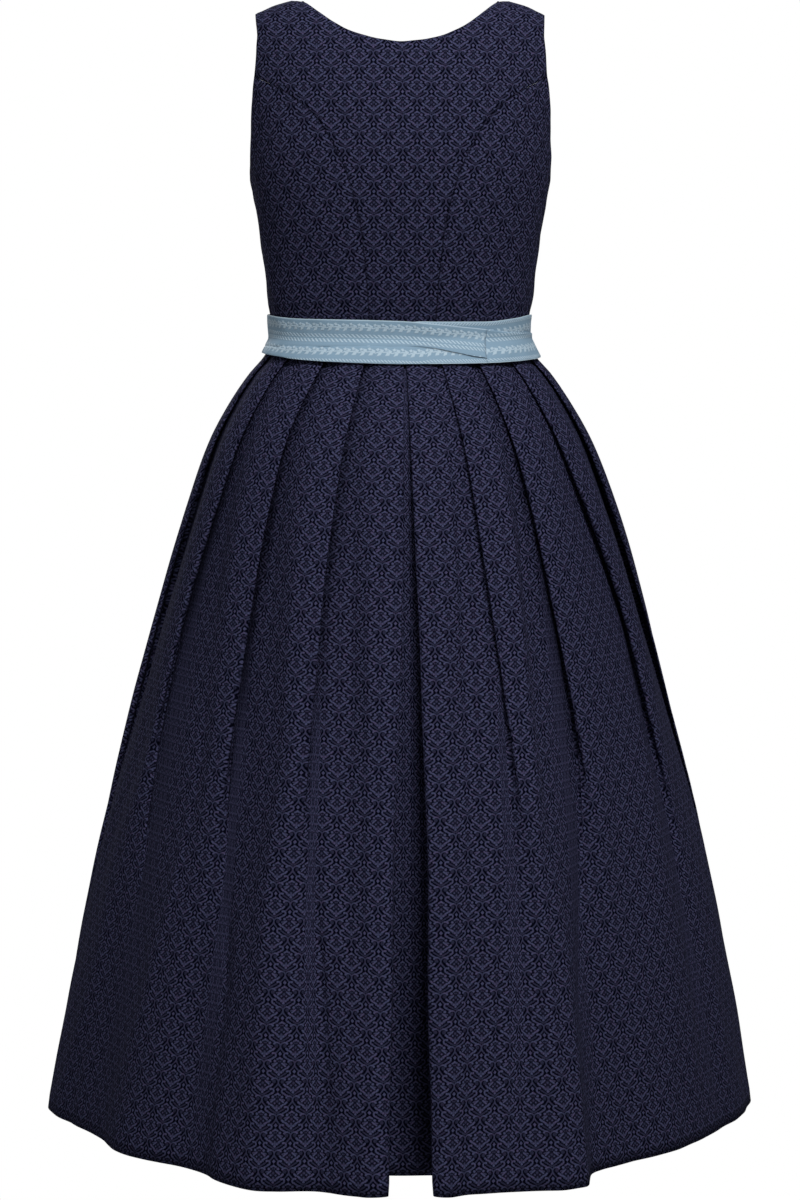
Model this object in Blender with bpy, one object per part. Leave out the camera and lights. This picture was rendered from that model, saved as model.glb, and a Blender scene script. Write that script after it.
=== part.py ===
"""Dirndl: sleeveless bodice, pleated skirt and a wound tie band, as hollow cloth walls.

Frame: metres, +Z up. The wearer faces -Y and the centre back is at +Y; +X is the wearer's left.
The origin lies midway between the shoulder straps, level with their undersides at the neck ends,
where the wearer's shoulders carry the dress.

Round the body, an angle of 0 is the centre back, 90 the wearer's left side, 180 the centre front
and -90 the wearer's right side. A drop is a distance below the shoulders. Every wall is made from
its outer face, whose points are moved inwards by the cloth's thickness.
"""
import bpy
import numpy as np

# ---------------------------------------------------------------------------------------------
# Driving dimensions, in metres
# ---------------------------------------------------------------------------------------------
BODICE_WALL = 0.0014
SKIRT_WALL = 0.0012
BAND_WALL = 0.0010
ZIP_WALL = 0.0012
SEAM_GAP = 0.0003

WAIST_DROP = 0.3305       # shoulder to waist seam
HEM_DROP = 1.1030         # shoulder to hem
NECK_HALF = 0.0975        # centre to the neck end of a strap
SHOULDER_HALF = 0.1400    # centre to the outer end of a strap
SHOULDER_SLOPE = 0.27     # fall of the shoulder line for each metre outwards
NECK_SLOPE = 0.12         # rise of the form inside the neck, above the neckline's cut
SHOULDER_TRIM = 0.0006    # level at which front and back straps stop short of their seam
STRAP_STEPS = 2
YOKE_ROWS = 4             # rows of a centre panel above its princess seam's turn
YOKE_DIP = 0.01           # how much lower, in level, the row at the turn is at the centre line
BACK_STEPS = (4, 5, 0.150)    # straight lengths of the princess seam above and below the drop
FRONT_STEPS = (3, 5, 0.150)   # at which it turns towards the waist
ZIP_HALF = 0.011
ZIP_CLEARANCE = 0.0006
ZIP_BOW = 0.0008          # how far its edges lie behind its middle
BESIDE_ZIP = 0.014        # the skirt keeps flat as far as this from the centre front
ZIP_START = 0.15          # its top lies this share of a row below the neckline
ZIP_END_DROP = 0.4640

# The bodice's form. A level is the square root of the drop over the whole drop to the waist, so
# that equal steps of it follow the cloth over the shoulder and down the body.
BODY_SQUARENESS = 2.25
BODY_FORM = np.array([
    # level, half_width, back_depth, front_depth
    (0.000, 0.1580, 0.0000, 0.0000),
    (0.100, 0.1578, 0.0260, 0.0220),
    (0.200, 0.1570, 0.0470, 0.0410),
    (0.300, 0.1557, 0.0640, 0.0560),
    (0.400, 0.1540, 0.0780, 0.0700),
    (0.500, 0.1524, 0.0900, 0.0830),
    (0.600, 0.1512, 0.0990, 0.0960),
    (0.700, 0.1496, 0.1045, 0.1080),
    (0.750, 0.1460, 0.1050, 0.1130),
    (0.800, 0.1416, 0.1040, 0.1150),
    (0.850, 0.1377, 0.1015, 0.1140),
    (0.900, 0.1340, 0.0980, 0.1090),
    (0.950, 0.1312, 0.0942, 0.1010),
    (0.965, 0.1292, 0.0918, 0.0976),
    (0.978, 0.1276, 0.0906, 0.0950),
    (1.000, 0.1258, 0.0894, 0.0922),
])
BUST_OUT = 0.083          # fullest point of each front: out from the centre, and its drop
BUST_DROP = 0.212
BUST_RISE = 0.013
BUST_SPREAD = 0.052
BUST_BLEND = 0.5          # the rise fades out at the side seam, over this part of the front's depth

# Seams and edges of one half of the bodice, each from its upper end down.
BACK_NECKLINE = np.array([
    # out, drop
    (0.0000, 0.0460),
    (0.0200, 0.0440),
    (0.0400, 0.0392),
    (0.0540, 0.0333),
    (0.0700, 0.0230),
    (0.0850, 0.0110),
    (0.0940, 0.0030),
])
BACK_ARMHOLE = np.array([
    # drop, out
    (0.0380, 0.1412),
    (0.0775, 0.1442),
])
BACK_PRINCESS = np.array([
    # drop, out
    (0.0775, 0.1442),
    (0.0950, 0.1140),
    (0.1120, 0.0910),
    (0.1310, 0.0760),
    (0.1520, 0.0650),
    (0.1710, 0.0560),
    (0.1990, 0.0470),
    (0.2290, 0.0405),
    (0.2650, 0.0360),
    (0.3305, 0.0315),
])
BACK_UNDERARM = np.array([
    # drop, angle from the centre back in degrees
    (0.0775, 70.8),
    (0.1080, 74.5),
    (0.1425, 79.0),
    (0.1620, 84.0),
    (0.1700, 90.0),
])
FRONT_NECKLINE = np.array([
    # out, drop
    (0.0000, 0.1230),
    (0.0250, 0.1205),
    (0.0480, 0.1110),
    (0.0680, 0.0910),
    (0.0820, 0.0620),
    (0.0900, 0.0330),
    (0.0950, 0.0090),
])
FRONT_ARMHOLE = np.array([
    # drop, out
    (0.0300, 0.1355),
    (0.0620, 0.1300),
    (0.0950, 0.1290),
])
FRONT_PRINCESS = np.array([
    # drop, out
    (0.0950, 0.1290),
    (0.1150, 0.1120),
    (0.1400, 0.0980),
    (0.1700, 0.0890),
    (0.2050, 0.0845),
    (0.2450, 0.0790),
    (0.2850, 0.0680),
    (0.3305, 0.0570),
])
FRONT_UNDERARM = np.array([
    # drop, angle from the centre back in degrees
    (0.0950, 122.0),
    (0.1200, 113.0),
    (0.1450, 104.0),
    (0.1630, 95.5),
    (0.1700, 90.0),
])

# The skirt's outer form, before its folds
SKIRT_FORM = np.array([
    # drop, left half_width, back_depth, front_depth, squareness, right half_width
    (0.3308, 0.1274, 0.0916, 0.0940, 2.20, 0.1274),
    (0.3465, 0.1326, 0.0976, 0.0996, 2.15, 0.1326),
    (0.3690, 0.1510, 0.1185, 0.1180, 2.10, 0.1515),
    (0.3940, 0.1680, 0.1400, 0.1370, 2.05, 0.1688),
    (0.4340, 0.1893, 0.1675, 0.1610, 2.00, 0.1912),
    (0.4940, 0.2105, 0.1950, 0.1850, 1.95, 0.2145),
    (0.5940, 0.2400, 0.2320, 0.2170, 1.88, 0.2450),
    (0.7140, 0.2710, 0.2720, 0.2510, 1.86, 0.2760),
    (0.8440, 0.3030, 0.3120, 0.2870, 1.84, 0.3095),
    (0.9740, 0.3300, 0.3470, 0.3180, 1.82, 0.3360),
    (HEM_DROP, 0.3532, 0.3800, 0.3450, 1.80, 0.3570),
])
SKIRT_ROWS = (0.3308, 0.3465, 0.3580, 0.3740, 0.4040, 0.4640, 0.5600, 0.6900, 0.8300, 0.9700,
              HEM_DROP)

# How the folds open on the way down. A knife pleat is three layers at the waist: the top one, the
# middle one set back by "middle", and the bottom one set back by "bottom"; "under" is how far the
# hidden layers reach. "opened" runs from 0, pressed flat, to 1, a soft wave.
FOLD_OPENING = np.array([
    # drop, middle, bottom, under, opened, box_opened
    (0.3308, 0.0028, 0.0041, 0.0185, 0.00, 0.00),
    (0.3690, 0.0030, 0.0048, 0.0220, 0.00, 0.00),
    (0.4040, 0.0036, 0.0064, 0.0260, 0.03, 0.00),
    (0.4640, 0.0052, 0.0100, 0.0310, 0.10, 0.02),
    (0.5600, 0.0075, 0.0145, 0.0320, 0.26, 0.08),
    (0.6900, 0.0092, 0.0175, 0.0290, 0.46, 0.24),
    (0.8300, 0.0100, 0.0190, 0.0250, 0.66, 0.50),
    (0.9700, 0.0100, 0.0190, 0.0220, 0.85, 0.78),
    (HEM_DROP, 0.0100, 0.0190, 0.0200, 1.00, 1.00),
])

# Each pleat's visible fold edge as an angle at five drops, how wide its trough is there, which
# way it faces (1 towards smaller angles, -1 towards larger ones) and the drop, one of the rows
# above, at which its middle layer stands up: it is pressed flat above and open below.
PLEAT_DROPS = (0.3308, 0.4540, 0.6100, 0.8400, HEM_DROP)
PLEATS = {
    # name: (edge angles), (trough widths), all in degrees, facing, standing drop
    "front_right_3": ((-152.0, -154.0, -156.0, -159.0, -161.0), (0, 1, 3, 6, 9), 1, 0.69),
    "front_right_2": ((-132.0, -134.0, -136.0, -138.0, -140.0), (0, 1, 3, 6, 9), 1, 0.69),
    "front_right_1": ((-112.0, -113.0, -114.0, -116.0, -118.0), (0, 1, 3, 6, 9), 1, 0.69),
    "back_right_4": ((-67.0, -77.0, -88.0, -93.0, -97.0), (0, 1, 3, 5, 7), -1, 0.69),
    "back_right_3": ((-47.5, -55.0, -67.0, -70.5, -74.0), (0, 1, 4, 8, 12), -1, 0.69),
    "back_right_2": ((-30.0, -34.6, -38.0, -40.4, -40.0), (0, 1.5, 8, 13.8, 14.5), -1, 0.56),
    "back_right_1": ((-14.8, -17.6, -19.1, -20.7, -19.5), (0, 1, 3, 6, 9), -1, 0.69),
    "box_right": ((-1.05, -1.8, -2.6, -3.0, -2.8), (0, 0, 0, 0, 0), -1, 0.69),
    "box_left": ((-0.35, 0.6, 1.3, 2.7, 3.6), (0, 0, 0, 0, 0), 1, 0.69),
    "back_left_1": ((14.6, 18.2, 19.7, 19.9, 18.5), (0, 1, 3, 5, 9), 1, 0.69),
    "back_left_2": ((31.0, 38.2, 40.2, 40.7, 45.0), (0, 1, 4, 8, 14), 1, 0.69),
    "back_left_3": ((52.5, 59.5, 67.5, 71.0, 76.0), (0, 2, 13, 20, 20), 1, 0.56),
    "back_left_4": ((73.0, 81.0, 90.0, 93.0, 97.0), (0, 1, 3, 5, 7), 1, 0.69),
    "front_left_1": ((112.0, 113.0, 114.0, 116.0, 118.0), (0, 1, 3, 6, 9), -1, 0.69),
    "front_left_2": ((132.0, 134.0, 136.0, 138.0, 140.0), (0, 1, 3, 6, 9), -1, 0.69),
    "front_left_3": ((152.0, 154.0, 156.0, 159.0, 161.0), (0, 1, 3, 6, 9), -1, 0.69),
}
FOLD_NOSE = 0.004         # length of the rounded turn at a fold

# The points of a pleat in its standing and open states, from its trough over its edge. "before"
# is a part of the trough's width, "after" a part of the panel's width, "beside" a part of the
# nose's length, and "sunk" a part of the bottom layer's depth.
PLEAT_STATES = np.array([
    # standing_before, standing_beside, standing_sunk, open_before, open_after, open_sunk
    (1.0, 0.0, 0.60, 1.00, 0.00, 0.30),
    (0.0, -0.4, 1.00, 0.84, 0.00, 1.00),
    (0.0, 0.3, 0.85, 0.66, 0.00, 0.94),
    (0.0, 0.4, 0.60, 0.45, 0.00, 0.84),
    (0.0, 0.2, 0.35, 0.22, 0.00, 0.66),
    (0.0, 0.0, 0.12, 0.00, 0.00, 0.36),
    (0.0, 0.8, 0.00, 0.00, 0.10, 0.00),
    (0.0, 5.0, 0.00, 0.00, 0.35, 0.00),
])
BOX_STRIP = 0.3           # the inverted pleat's strip reaches this part of the way under each side
LAST_SUNK = 0.45          # the last point before the next trough, as a part of the bottom's depth

# The open inverted pleat at the hem
BOX_WAVE = np.array([
    # across, outwards
    (0.004, -0.068),
    (0.010, -0.064),
    (0.014, -0.050),
    (0.012, -0.034),
    (0.007, -0.014),
    (0.000, 0.006),
    (0.004, 0.013),
    (0.016, 0.0165),
])

# Crests and troughs of the hem
HEM_WAVE = np.array([
    # angle, outwards
    (-180.0, -0.002),
    (-168.0, -0.008),
    (-157.0, 0.009),
    (-146.0, -0.008),
    (-136.0, 0.009),
    (-124.0, -0.008),
    (-110.0, 0.008),
    (-90.0, 0.000),
    (-79.0, -0.010),
    (-66.0, -0.0165),
    (-53.0, -0.0160),
    (-43.0, -0.0200),
    (-35.0, -0.0180),
    (-30.5, -0.0100),
    (-25.5, 0.0240),
    (-22.0, 0.0270),
    (-18.0, 0.0180),
    (-12.0, 0.0110),
    (-8.0, 0.0105),
    (-5.0, 0.0140),
    (5.0, 0.0165),
    (9.0, 0.0130),
    (14.0, 0.0050),
    (20.0, 0.0190),
    (23.0, 0.0240),
    (31.0, 0.0060),
    (35.0, -0.0060),
    (41.0, -0.0110),
    (52.0, -0.0040),
    (56.0, -0.0060),
    (61.0, -0.0145),
    (67.0, -0.0170),
    (75.0, -0.0140),
    (82.0, -0.0040),
    (90.0, 0.0020),
    (110.0, 0.0080),
    (124.0, -0.0080),
    (136.0, 0.0090),
    (146.0, -0.0080),
    (157.0, 0.0090),
    (168.0, -0.0080),
    (180.0, -0.0020),
])

# The tie band's inner form: straight from its upper edge to a bend, and straight again below it
BAND_SQUARENESS = 2.25
BAND_BEND_DROP = 0.3330
BAND_FORM = np.array([
    # drop, half_width, back_depth, front_depth
    (0.3020, 0.1306, 0.0948, 0.1002),
    (BAND_BEND_DROP, 0.1290, 0.0932, 0.0956),
    (0.3600, 0.1430, 0.1110, 0.1114),
])
BAND_TOP = np.array([
    # angle, drop
    (-180.0, 0.3100),
    (-110.0, 0.3095),
    (-78.0, 0.3095),
    (-53.0, 0.3137),
    (-37.0, 0.3166),
    (-18.0, 0.3167),
    (0.0, 0.3161),
    (17.0, 0.3151),
    (47.0, 0.3137),
    (80.0, 0.3100),
    (110.0, 0.3090),
    (190.0, 0.3100),
])
BAND_BOTTOM = np.array([
    # angle, drop
    (-180.0, 0.3490),
    (-86.0, 0.3512),
    (-59.0, 0.3540),
    (-35.0, 0.3567),
    (0.0, 0.3574),
    (16.0, 0.3565),
    (46.0, 0.3529),
    (57.0, 0.3503),
    (89.0, 0.3470),
    (120.0, 0.3470),
    (190.0, 0.3490),
])
LAP_TOP = np.array([
    # angle, drop of the upper edge of the winding that laps over
    (-180.0, 0.3100),
    (-130.0, 0.3220),
    (-86.0, 0.3276),
    (-49.0, 0.3267),
    (-37.0, 0.3240),
    (-25.0, 0.3214),
    (-11.5, 0.3185),
    (0.0, 0.3163),
    (17.0, 0.3151),
    (47.0, 0.3137),
    (80.0, 0.3100),
    (110.0, 0.3090),
    (190.0, 0.3100),
])
TUCK = np.array([
    # angle, drop, how far the upper part stands out over the lower
    (-37.5, 0.3517, 0.0012),
    (-30.0, 0.3500, 0.0012),
    (-25.6, 0.3480, 0.0010),
    (-19.0, 0.3450, 0.0008),
    (-13.0, 0.3421, 0.0005),
    (-2.5, 0.3402, 0.0000),
    (190.0, 0.3402, 0.0000),
])
TUCK_LEDGE = 0.001        # height over which the tuck's fold turns in
BAND_SEAM_ANGLE = -37.5
BAND_STEP = 7.5           # degrees between a winding's columns, shared so that layers clear
BAND_FRONT_LAP = 7.5      # degrees by which the left end of the band passes the centre front
LAP_RISE = (162, 174)     # angles between which that end climbs over the right end
UNDER_MARGIN = 0.003      # the first winding's edges lie this far inside the second's
COVERED_LEFT = (-8, 10)   # angles between which the second winding comes to cover the first's
COVERED_RIGHT = (-130, -160)    # upper edge, on the left and on the right


# ---------------------------------------------------------------------------------------------
# Curves and forms
# ---------------------------------------------------------------------------------------------
def smooth(xs, ys, x):
    """A curve through the points (xs, ys) that never overshoots them, read at x."""
    xs, ys, x = (np.asarray(v, float) for v in (xs, ys, x))
    step = np.diff(xs)
    rise = np.diff(ys) / step
    slope = np.zeros(len(xs))
    slope[0], slope[-1] = rise[0], rise[-1]
    before = 2 * step[1:] + step[:-1]
    after = step[1:] + 2 * step[:-1]
    turning = rise[:-1] * rise[1:] <= 0
    left = np.where(turning, 1.0, rise[:-1])
    right = np.where(turning, 1.0, rise[1:])
    slope[1:-1] = np.where(turning, 0.0, (before + after) / (before / left + after / right))
    k = np.clip(np.searchsorted(xs, x) - 1, 0, len(xs) - 2)
    t = (x - xs[k]) / step[k]
    start = ys[k] * (2 * t**3 - 3 * t**2 + 1) + step[k] * slope[k] * (t**3 - 2 * t**2 + t)
    end = ys[k + 1] * (3 * t**2 - 2 * t**3) + step[k] * slope[k + 1] * (t**3 - t**2)
    return start + end


def column(table, index, x):
    """One column of a table, read as a smooth curve of its first column."""
    return smooth(table[:, 0], table[:, index], x)


def share(x, low, high):
    """How far x is on the way from low to high, from 0 to 1."""
    return np.clip((x - low) / (high - low), 0, 1)


def eased(x, high):
    """An even S from 0 at 0 and below to 1 at a high value and above."""
    t = share(x, 0, high)
    return t * t * (3 - 2 * t)


def rounded(angle, squareness):
    """A point on a unit superellipse in the direction of an angle: how far left, how far back."""
    left, back = np.sin(angle), np.cos(angle)
    reach = (np.abs(left) ** squareness + np.abs(back) ** squareness) ** (-1 / squareness)
    return reach * left, reach * back


def body_point(angle, level):
    """A point of the bodice's outer form, from its angle round the body and its level."""
    angle, level = np.broadcast_arrays(np.asarray(angle, float), np.asarray(level, float))
    left, back = rounded(angle, BODY_SQUARENESS)
    is_back = np.cos(angle) >= 0
    x = column(BODY_FORM, 1, level) * left
    y = np.where(is_back, column(BODY_FORM, 2, level), column(BODY_FORM, 3, level)) * back
    beyond = NECK_HALF - np.abs(x)
    slope = np.where(beyond > 0, NECK_SLOPE, SHOULDER_SLOPE)
    z = (BODICE_WALL + slope * beyond) * (1 - level**2) - WAIST_DROP * level**2
    spread = ((np.abs(x) - BUST_OUT) / BUST_SPREAD) ** 2 + ((z + BUST_DROP) / BUST_SPREAD) ** 2
    y = y - BUST_RISE * np.exp(-spread) * eased(-back, BUST_BLEND)
    return np.stack([x, y, z], axis=-1)


def on_body(out, drop, front=False):
    """The angle and level at which the bodice's form lies a given way out and down, on the left."""
    out, drop = np.broadcast_arrays(np.asarray(out, float), np.asarray(drop, float))
    low, high = np.zeros(out.shape), np.ones(out.shape)
    beyond = NECK_HALF - out
    top = BODICE_WALL + np.where(beyond > 0, NECK_SLOPE, SHOULDER_SLOPE) * beyond
    for _ in range(40):
        level = (low + high) / 2
        too_high = top * (1 - level**2) - WAIST_DROP * level**2 > -drop
        low = np.where(too_high, level, low)
        high = np.where(too_high, high, level)
    left = share(out, 0, column(BODY_FORM, 1, high))
    angle = np.arctan2(left, (1 - left**BODY_SQUARENESS) ** (1 / BODY_SQUARENESS))
    return np.stack([np.pi - angle if front else angle, high], axis=-1)


def skirt_point(angle, drop, outwards):
    """A point of the skirt's form at an angle and a drop, moved outwards from it."""
    angle, drop, outwards = np.broadcast_arrays(angle, drop, outwards)
    on_left, is_back = np.sin(angle) >= 0, np.cos(angle) >= 0
    half_width = np.where(on_left, column(SKIRT_FORM, 1, drop), column(SKIRT_FORM, 5, drop))
    depth = np.where(is_back, column(SKIRT_FORM, 2, drop), column(SKIRT_FORM, 3, drop))
    left, back = rounded(angle, column(SKIRT_FORM, 4, drop))
    side, rear = np.sin(angle) / half_width, np.cos(angle) / depth
    length = np.hypot(side, rear)
    x = half_width * left + outwards * side / length
    y = depth * back + outwards * rear / length
    return np.stack([x, y, -drop], axis=-1)


def skirt_speed(angle, drop):
    """How many metres round the skirt's form one radian of angle is."""
    step = 0.01
    ahead = skirt_point(angle + step, drop, 0.0)
    behind = skirt_point(angle - step, drop, 0.0)
    return np.linalg.norm(ahead - behind, axis=-1) / (2 * step)


def band_point(angle, drop, outwards):
    """A point of the tie band's inner form, moved outwards from it."""
    angle, drop, outwards = np.broadcast_arrays(angle, drop, outwards)
    half_width, back, front = (np.interp(drop, BAND_FORM[:, 0], BAND_FORM[:, k]) for k in (1, 2, 3))
    depth = np.where(np.cos(angle) >= 0, back, front)
    left, back = rounded(angle, BAND_SQUARENESS)
    side, rear = np.sin(angle) / half_width, np.cos(angle) / depth
    length = np.hypot(side, rear)
    x = half_width * left + outwards * side / length
    y = depth * back + outwards * rear / length
    return np.stack([x, y, -drop], axis=-1)


# ---------------------------------------------------------------------------------------------
# Meshes
# ---------------------------------------------------------------------------------------------
def material(name, colour, roughness):
    """A plain cloth finish."""
    finish = bpy.data.materials.new(name)
    finish.use_nodes = True
    shader = finish.node_tree.nodes["Principled BSDF"]
    shader.inputs["Base Color"].default_value = (*colour, 1.0)
    shader.inputs["Roughness"].default_value = roughness
    shader.inputs["Metallic"].default_value = 0.0
    return finish


def wall(name, outer, inner, finish, ring=False):
    """A closed cloth wall between two grids of points, joined along their edges.

    Both grids are rows by columns, and every cell of both is split into triangles along the same
    diagonal, the shorter one, so that the two faces stay parallel. Points that are not a number
    are left out of the panel. With ring the last column meets the first again.
    """
    present = np.isfinite(outer[..., 0])
    count = int(present.sum())
    near = np.where(present, np.cumsum(present).reshape(present.shape) - 1, -1)
    if ring:
        near = np.hstack([near, near[:, :1]])
    cells = np.stack([near[:-1, :-1], near[:-1, 1:], near[1:, 1:], near[1:, :-1]], axis=-1)
    cells = cells.reshape(-1, 4)
    cells = cells[(cells >= 0).all(axis=1)]
    corners = outer[present][cells]
    falling = np.linalg.norm(corners[:, 0] - corners[:, 2], axis=1)
    rising = np.linalg.norm(corners[:, 1] - corners[:, 3], axis=1)
    cells = np.where((rising < falling)[:, None], np.roll(cells, -1, axis=1), cells)
    outside = np.vstack([cells[:, [0, 1, 2]], cells[:, [0, 2, 3]]])
    ways = np.vstack([outside[:, [0, 1]], outside[:, [1, 2]], outside[:, [2, 0]]])
    codes = ways[:, 0] * count + ways[:, 1]
    rim = ways[~np.isin(codes, ways[:, 1] * count + ways[:, 0])]
    faces = [outside, outside[:, ::-1] + count]
    faces.append(np.stack([rim[:, 1], rim[:, 0], rim[:, 0] + count], axis=-1))
    faces.append(np.stack([rim[:, 1], rim[:, 0] + count, rim[:, 1] + count], axis=-1))
    mesh = bpy.data.meshes.new(name)
    mesh.from_pydata(np.vstack([outer[present], inner[present]]).tolist(), [], np.vstack(faces).tolist())
    mesh.update()
    mesh.shade_smooth()
    mesh.set_sharp_from_angle(angle=np.radians(40))
    mesh.materials.append(finish)
    part = bpy.data.objects.new(name, mesh)
    bpy.context.scene.collection.objects.link(part)
    return part


# ---------------------------------------------------------------------------------------------
# Bodice
# ---------------------------------------------------------------------------------------------
def body_normal(place):
    """The outward direction of the bodice's form at (angle, level) places."""
    step = 0.004
    angle, level = place[..., 0], place[..., 1]
    across = body_point(angle + step, level) - body_point(angle - step, level)
    down = body_point(angle, level + step) - body_point(angle, level - step)
    normal = np.cross(across, down)
    return normal / np.linalg.norm(normal, axis=-1, keepdims=True)


def read_along(path, count):
    """Points at equal steps along a path of (angle, level) places."""
    places = body_point(path[:, 0], path[:, 1])
    lengths = np.linalg.norm(np.diff(places, axis=0), axis=1)
    run = np.concatenate([[0.0], np.cumsum(lengths)])
    wanted = np.linspace(0, run[-1], count)
    return np.stack([np.interp(wanted, run, path[:, 0]), np.interp(wanted, run, path[:, 1])], -1)


def curve_by_drop(table, samples=40, front=False):
    """An edge given as how far out it lies at each drop."""
    drop = np.linspace(table[0, 0], table[-1, 0], samples)
    return on_body(column(table, 1, drop), drop, front)


def curve_by_angle(table, samples=40):
    """An edge given as its angle at each drop, near the side seam."""
    drop = np.linspace(table[0, 0], table[-1, 0], samples)
    angle = np.radians(column(table, 1, drop))
    return np.stack([angle, np.sqrt(drop / WAIST_DROP)], axis=-1)


def shift_sideways(path, distance):
    """A path that runs down, moved square to itself by a distance on the cloth.

    A positive distance moves it to the right as seen from outside, the wearer's right at the back.
    """
    step = 0.002
    angle, level = path[:, 0], path[:, 1]
    per_angle = (body_point(angle + step, level) - body_point(angle - step, level)) / (2 * step)
    per_level = (body_point(angle, level + step) - body_point(angle, level - step)) / (2 * step)
    run = np.gradient(path, axis=0)
    along = run[:, :1] * per_angle + run[:, 1:] * per_level
    square = np.cross(body_normal(path), along)
    square = square * distance / np.linalg.norm(square, axis=-1, keepdims=True)
    basis = np.stack([per_angle, per_level], axis=-1)
    moved = np.linalg.pinv(basis) @ square[..., None]
    return path + moved[..., 0]


def patch(top, bottom, inner, outer):
    """A grid blended between four edges: top and bottom run from inner to outer."""
    across = np.linspace(0, 1, len(top))[None, :, None]
    down = np.linspace(0, 1, len(inner))[:, None, None]
    between_rows = (1 - down) * top[None] + down * bottom[None]
    between_sides = (1 - across) * inner[:, None] + across * outer[:, None]
    corners = (1 - down) * ((1 - across) * top[0] + across * top[-1])
    corners = corners + down * ((1 - across) * bottom[0] + across * bottom[-1])
    return between_rows + between_sides - corners


def straight(start, end, count):
    """Evenly spaced (angle, level) places between two."""
    way = np.linspace(0, 1, count)[:, None]
    return (1 - way) * start + way * end


def panel(name, grid, finish):
    """A bodice panel: its grid of places as a cloth wall, on either side of the body."""
    outer = body_point(grid[..., 0], grid[..., 1])
    inner = outer - BODICE_WALL * body_normal(grid)
    return wall(name, outer, inner, finish)


def mirrored(grid):
    """The same places on the wearer's other side, in an order that keeps the faces outward."""
    return (grid * (-1, 1))[:, ::-1]


def neck_and_strap(neckline, steps, front=False):
    """A centre panel's upper edge: from the centre along the neckline and over the strap's end."""
    out = np.linspace(0, neckline[-1, 0], 60)
    cut = on_body(out, column(neckline, 1, out), front)
    corner = on_body(NECK_HALF, -SHOULDER_TRIM, front)
    corner[1] = SHOULDER_TRIM
    cut = read_along(np.vstack([cut, corner]), steps - STRAP_STEPS + 1)
    end = on_body(SHOULDER_HALF, 0.05, front)
    end[1] = SHOULDER_TRIM
    return np.vstack([cut, straight(corner, end, STRAP_STEPS + 1)[1:]])


def princess_seam(princess, steps, distance, front=False):
    """A princess seam's points from its upper end to the waist, moved off the seam.

    The steps count its straight lengths above and below its turn towards the waist.
    """
    whole = curve_by_drop(princess, front=front)
    turn = int(np.argmin(np.abs(whole[:, 1] - np.sqrt(steps[2] / WAIST_DROP))))
    upper = read_along(whole[:turn + 1], steps[0] + 1)
    lower = read_along(whole[turn:], steps[1] + 1)
    return shift_sideways(np.vstack([upper, lower[1:]]), distance)


def centre_panel(neckline, armhole, princess, steps, waist_steps, front=False):
    """The places of one half of the centre back or front with its strap.

    Above the princess seam's turn the rows run from the centre line to the armhole, and the outer
    columns end on the seam. Below it the rows run from the centre line to the seam.
    """
    above, below, _ = steps
    top = neck_and_strap(neckline, waist_steps + above, front)
    seam = princess_seam(princess, steps, -SEAM_GAP / 2 if front else SEAM_GAP / 2, front)
    outer = np.vstack([top[-1], curve_by_drop(armhole, front=front)[:-1], seam[0]])
    outer = read_along(outer, YOKE_ROWS + 1)
    corner = np.array([np.pi - SEAM_GAP / 2 / BODY_FORM[-1, 3] if front else 0.0, 1.0])
    if front:
        top[0, 0] = corner[0]
    level = seam[above, 1] + YOKE_DIP
    middle = np.array([corner[0], level])
    yoke_line = straight(middle, seam[above], waist_steps + 1)
    bottom = np.vstack([yoke_line, seam[above - 1::-1]])
    yoke = patch(top, bottom, straight(top[0], middle, YOKE_ROWS + 1), outer)
    waist = straight(corner, seam[-1], waist_steps + 1)
    lower = patch(yoke_line, waist, straight(middle, corner, below + 1), seam[above:])
    missing = np.full((below, above, 2), np.nan)
    return np.vstack([yoke, np.hstack([lower[1:], missing])])


def back_centre(finish):
    """The centre back with both back straps, cut on the fold."""
    grid = centre_panel(BACK_NECKLINE, BACK_ARMHOLE, BACK_PRINCESS, BACK_STEPS, 3)
    return panel("back_centre", np.hstack([mirrored(grid), grid[:, 1:]]), finish)


def side_panel(princess, steps, underarm, front):
    """The places of a side panel, from its princess seam to the side seam at 90 degrees."""
    columns, rows = 5, steps[0] + steps[1] + 1
    toward_side = SEAM_GAP / 2 if front else -SEAM_GAP / 2
    seam = princess_seam(princess, steps, toward_side, front)
    armhole = read_along(curve_by_angle(underarm), columns)
    armhole[0] = seam[0]
    side_run = np.linspace(armhole[-1, 1], 1.0, rows)
    side = np.stack([np.full(rows, armhole[-1, 0]), side_run], axis=-1)
    side = shift_sideways(side, -toward_side)
    armhole[-1] = side[0]
    bottom = straight(seam[-1], side[-1], columns)
    grid = patch(armhole, bottom, seam, side)
    return grid[:, ::-1] if front else grid


def front_panel():
    """The places of the left centre front with its strap, from the side towards the centre."""
    grid = centre_panel(FRONT_NECKLINE, FRONT_ARMHOLE, FRONT_PRINCESS, FRONT_STEPS, 4, front=True)
    return grid[:, ::-1]


def bodice(cloth):
    """The seven bodice panels."""
    back_centre(cloth)
    back_side = side_panel(BACK_PRINCESS, BACK_STEPS, BACK_UNDERARM, front=False)
    front_side = side_panel(FRONT_PRINCESS, FRONT_STEPS, FRONT_UNDERARM, front=True)
    front = front_panel()
    for name, grid in (("back_side", back_side), ("front_side", front_side), ("front", front)):
        panel(f"{name}_left", grid, cloth)
        panel(f"{name}_right", mirrored(grid), cloth)


# ---------------------------------------------------------------------------------------------
# Skirt
# ---------------------------------------------------------------------------------------------
def by_drop(values, drop):
    """A pleat's values at its five drops, read at any drop."""
    return smooth(PLEAT_DROPS, values, drop)


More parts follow.
